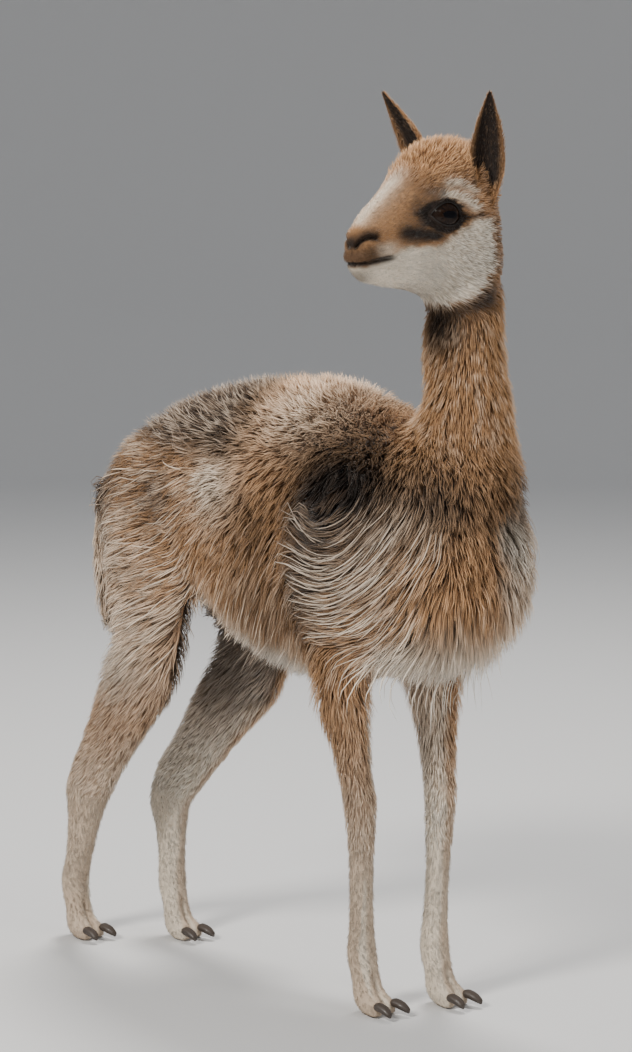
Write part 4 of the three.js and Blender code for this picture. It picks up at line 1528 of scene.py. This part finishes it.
def regions(skin):
    """The coat's pieces: name, unwrap, rings of a tuft, and its triangles among those that are left."""
    points = skin.points[skin.triangles].mean(1)
    x, y, z = points.T
    back = head_place(points)[:, 0]
    head, neck, leg = head_weight(points) > 0.5, neck_weight(points) > 0.5, leg_weight(points) > 0.5
    ear, tail = ear_weight(points) > 0.5, tail_weight(points) > 0.5
    left = np.ones(len(points), bool)
    pieces = []
    for name, kind, rings, test in (
        ("coat_ears", "ear", 2, ear),
        ("coat_tail", "tail", 4, tail),
        ("coat_face", "head", 1, head & (back < 112)),
        ("coat_crown", "head", 2, head),
        ("coat_neck_upper", "neck", 2, neck & (z > 0.90)),
        ("coat_neck_lower", "neck", 2, neck),
        ("coat_feet", "leg", 1, leg & (z < 0.22)),
        ("coat_legs", "leg", 2, leg),
        ("coat_chest", "trunk", 3, x > 0.31),
        ("coat_shoulder_right", "trunk", 3, (x > 0.15) & (y < MIDDLE)),
        ("coat_shoulder_left", "trunk", 3, x > 0.15),
        ("coat_saddle", "trunk", 2, z > 0.74),
        ("coat_side_right", "trunk", 2, (x > -0.07) & (y < MIDDLE)),
        ("coat_side_left", "trunk", 2, x > -0.07),
        ("coat_haunch_right", "trunk", 3, y < MIDDLE),
        ("coat_haunch_left", "trunk", 3, left),
    ):
        pieces.append((name, kind, rings, test & left))
        left = left & ~test
    return pieces


def long_locks(skin):
    """The long sweeping locks: name, triangles, share of the coat's number, stretch and paleness."""
    points = skin.points[skin.triangles].mean(1)
    x, _, z = points.T
    free = (leg_weight(points) < 0.5) & (head_weight(points) < 0.5) & (tail_weight(points) < 0.5)
    shoulder = free & (x > 0.24) & (x < 0.36) & (z > 0.52) & (z < 0.71)
    haunch = free & (x < -0.06) & (z > 0.44) & (z < 0.71)
    flank = free & (x > -0.06) & (x < 0.22) & (z > 0.52) & (z < 0.66)
    return (
        ("locks_shoulder", shoulder, 0.15, 2.4, 0.35),
        ("locks_haunch", haunch, 0.06, 1.6, 0.2),
        ("locks_flank", flank, 0.07, 1.3, 0.2),
    )


skin = build_skin()
show_skin(skin)
for seed, side in enumerate(EYES):
    eyeball(side)
    lid_rim(side)
    lashes(side, 90 + seed)
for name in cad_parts:
    if name.startswith("nail"):
        nail(name)
for seed, (name, kind, rings, chosen) in enumerate(regions(skin)):
    coat_piece(skin, name, chosen, kind, rings, 1.0, seed + 20)
for seed, (name, chosen, share, stretch, bright) in enumerate(long_locks(skin)):
    coat_piece(skin, name, chosen, "trunk", 7, share, seed + 60, stretch, 1.25, 0.2, bright)

# Stage, light and camera

FLOOR_RINGS = (0.0005, 0.6, 1.2, 2.5, 4.5)  # radii of the level floor, in metres
BEND_START = 7.6
BEND_RADIUS = 4.0
WALL_TOP = 8.0


def stage():
    """A round floor that curves up all round into a wall, as one surface."""
    bend = np.linspace(0, 1.5, 24)
    bent = BEND_START + BEND_RADIUS * np.sin(bend)
    reach = np.concatenate([FLOOR_RINGS, bent, [BEND_START + BEND_RADIUS]])
    rise = np.concatenate([np.zeros(len(FLOOR_RINGS)), BEND_RADIUS * (1 - np.cos(bend)), [WALL_TOP]])
    angle = np.arange(72) / 72 * 2 * math.pi
    rings = np.stack([np.outer(reach, np.cos(angle)), np.outer(reach, np.sin(angle)),
                      np.repeat(rise[:, None], 72, 1)], -1)
    i = np.arange(72)
    low = np.arange(len(reach) - 1)[:, None] * 72
    a, b = (low + i).ravel(), (low + (i + 1) % 72).ravel()
    made = make_object("floor", rings.reshape(-1, 3), np.stack([a, a + 72, b + 72, b], 1))
    made.data.materials.append(plain_material("backdrop", (0.56, 0.56, 0.56, 1), 0.95))


LAMPS = (  # place, aim, size in metres, power in watts, colour, and whether it shows in glossy surfaces
    ("key", (0.2, -3.7, 3.3), (0.1, 0, 0.75), 1.2, 240, (1.0, 0.96, 0.90), True),
    ("fill", (4.4, 0.5, 1.9), (0.1, 0, 0.8), 1.8, 80, (1.0, 0.985, 0.96), False),
    ("rim", (-1.2, 1.5, 4.6), (0.0, 0, 0.8), 1.2, 240, (1.0, 0.97, 0.93), False),
)


def lamp(name, place, aim, size, power, colour, mirrored):
    light = bpy.data.lights.new(name, "AREA")
    light.shape = "DISK"
    light.size = size
    light.energy = power
    light.color = colour
    made = bpy.data.objects.new(name, light)
    made.location = place
    made.visible_glossy = mirrored
    made.rotation_euler = (Vector(aim) - Vector(place)).to_track_quat("-Z", "Y").to_euler()
    bpy.context.scene.collection.objects.link(made)


def camera():
    lens = bpy.data.cameras.new("camera")
    lens.sensor_fit = "VERTICAL"
    lens.sensor_height = PICTURE_HEIGHT
    lens.lens = CAMERA_LENS
    made = bpy.data.objects.new("camera", lens)
    made.location = CAMERA_PLACE
    made.rotation_euler = (math.radians(90 - CAMERA_DROP), 0, math.radians(CAMERA_TURN))
    bpy.context.scene.collection.objects.link(made)
    bpy.context.scene.camera = made


def surroundings():
    world = bpy.data.worlds.new("studio")
    world.use_nodes = True
    background = world.node_tree.nodes["Background"]
    background.inputs["Color"].default_value = (0.92, 0.95, 1.0, 1)
    background.inputs["Strength"].default_value = 0.5
    bpy.context.scene.world = world


stage()
surroundings()
for row in LAMPS:
    lamp(*row)
camera()
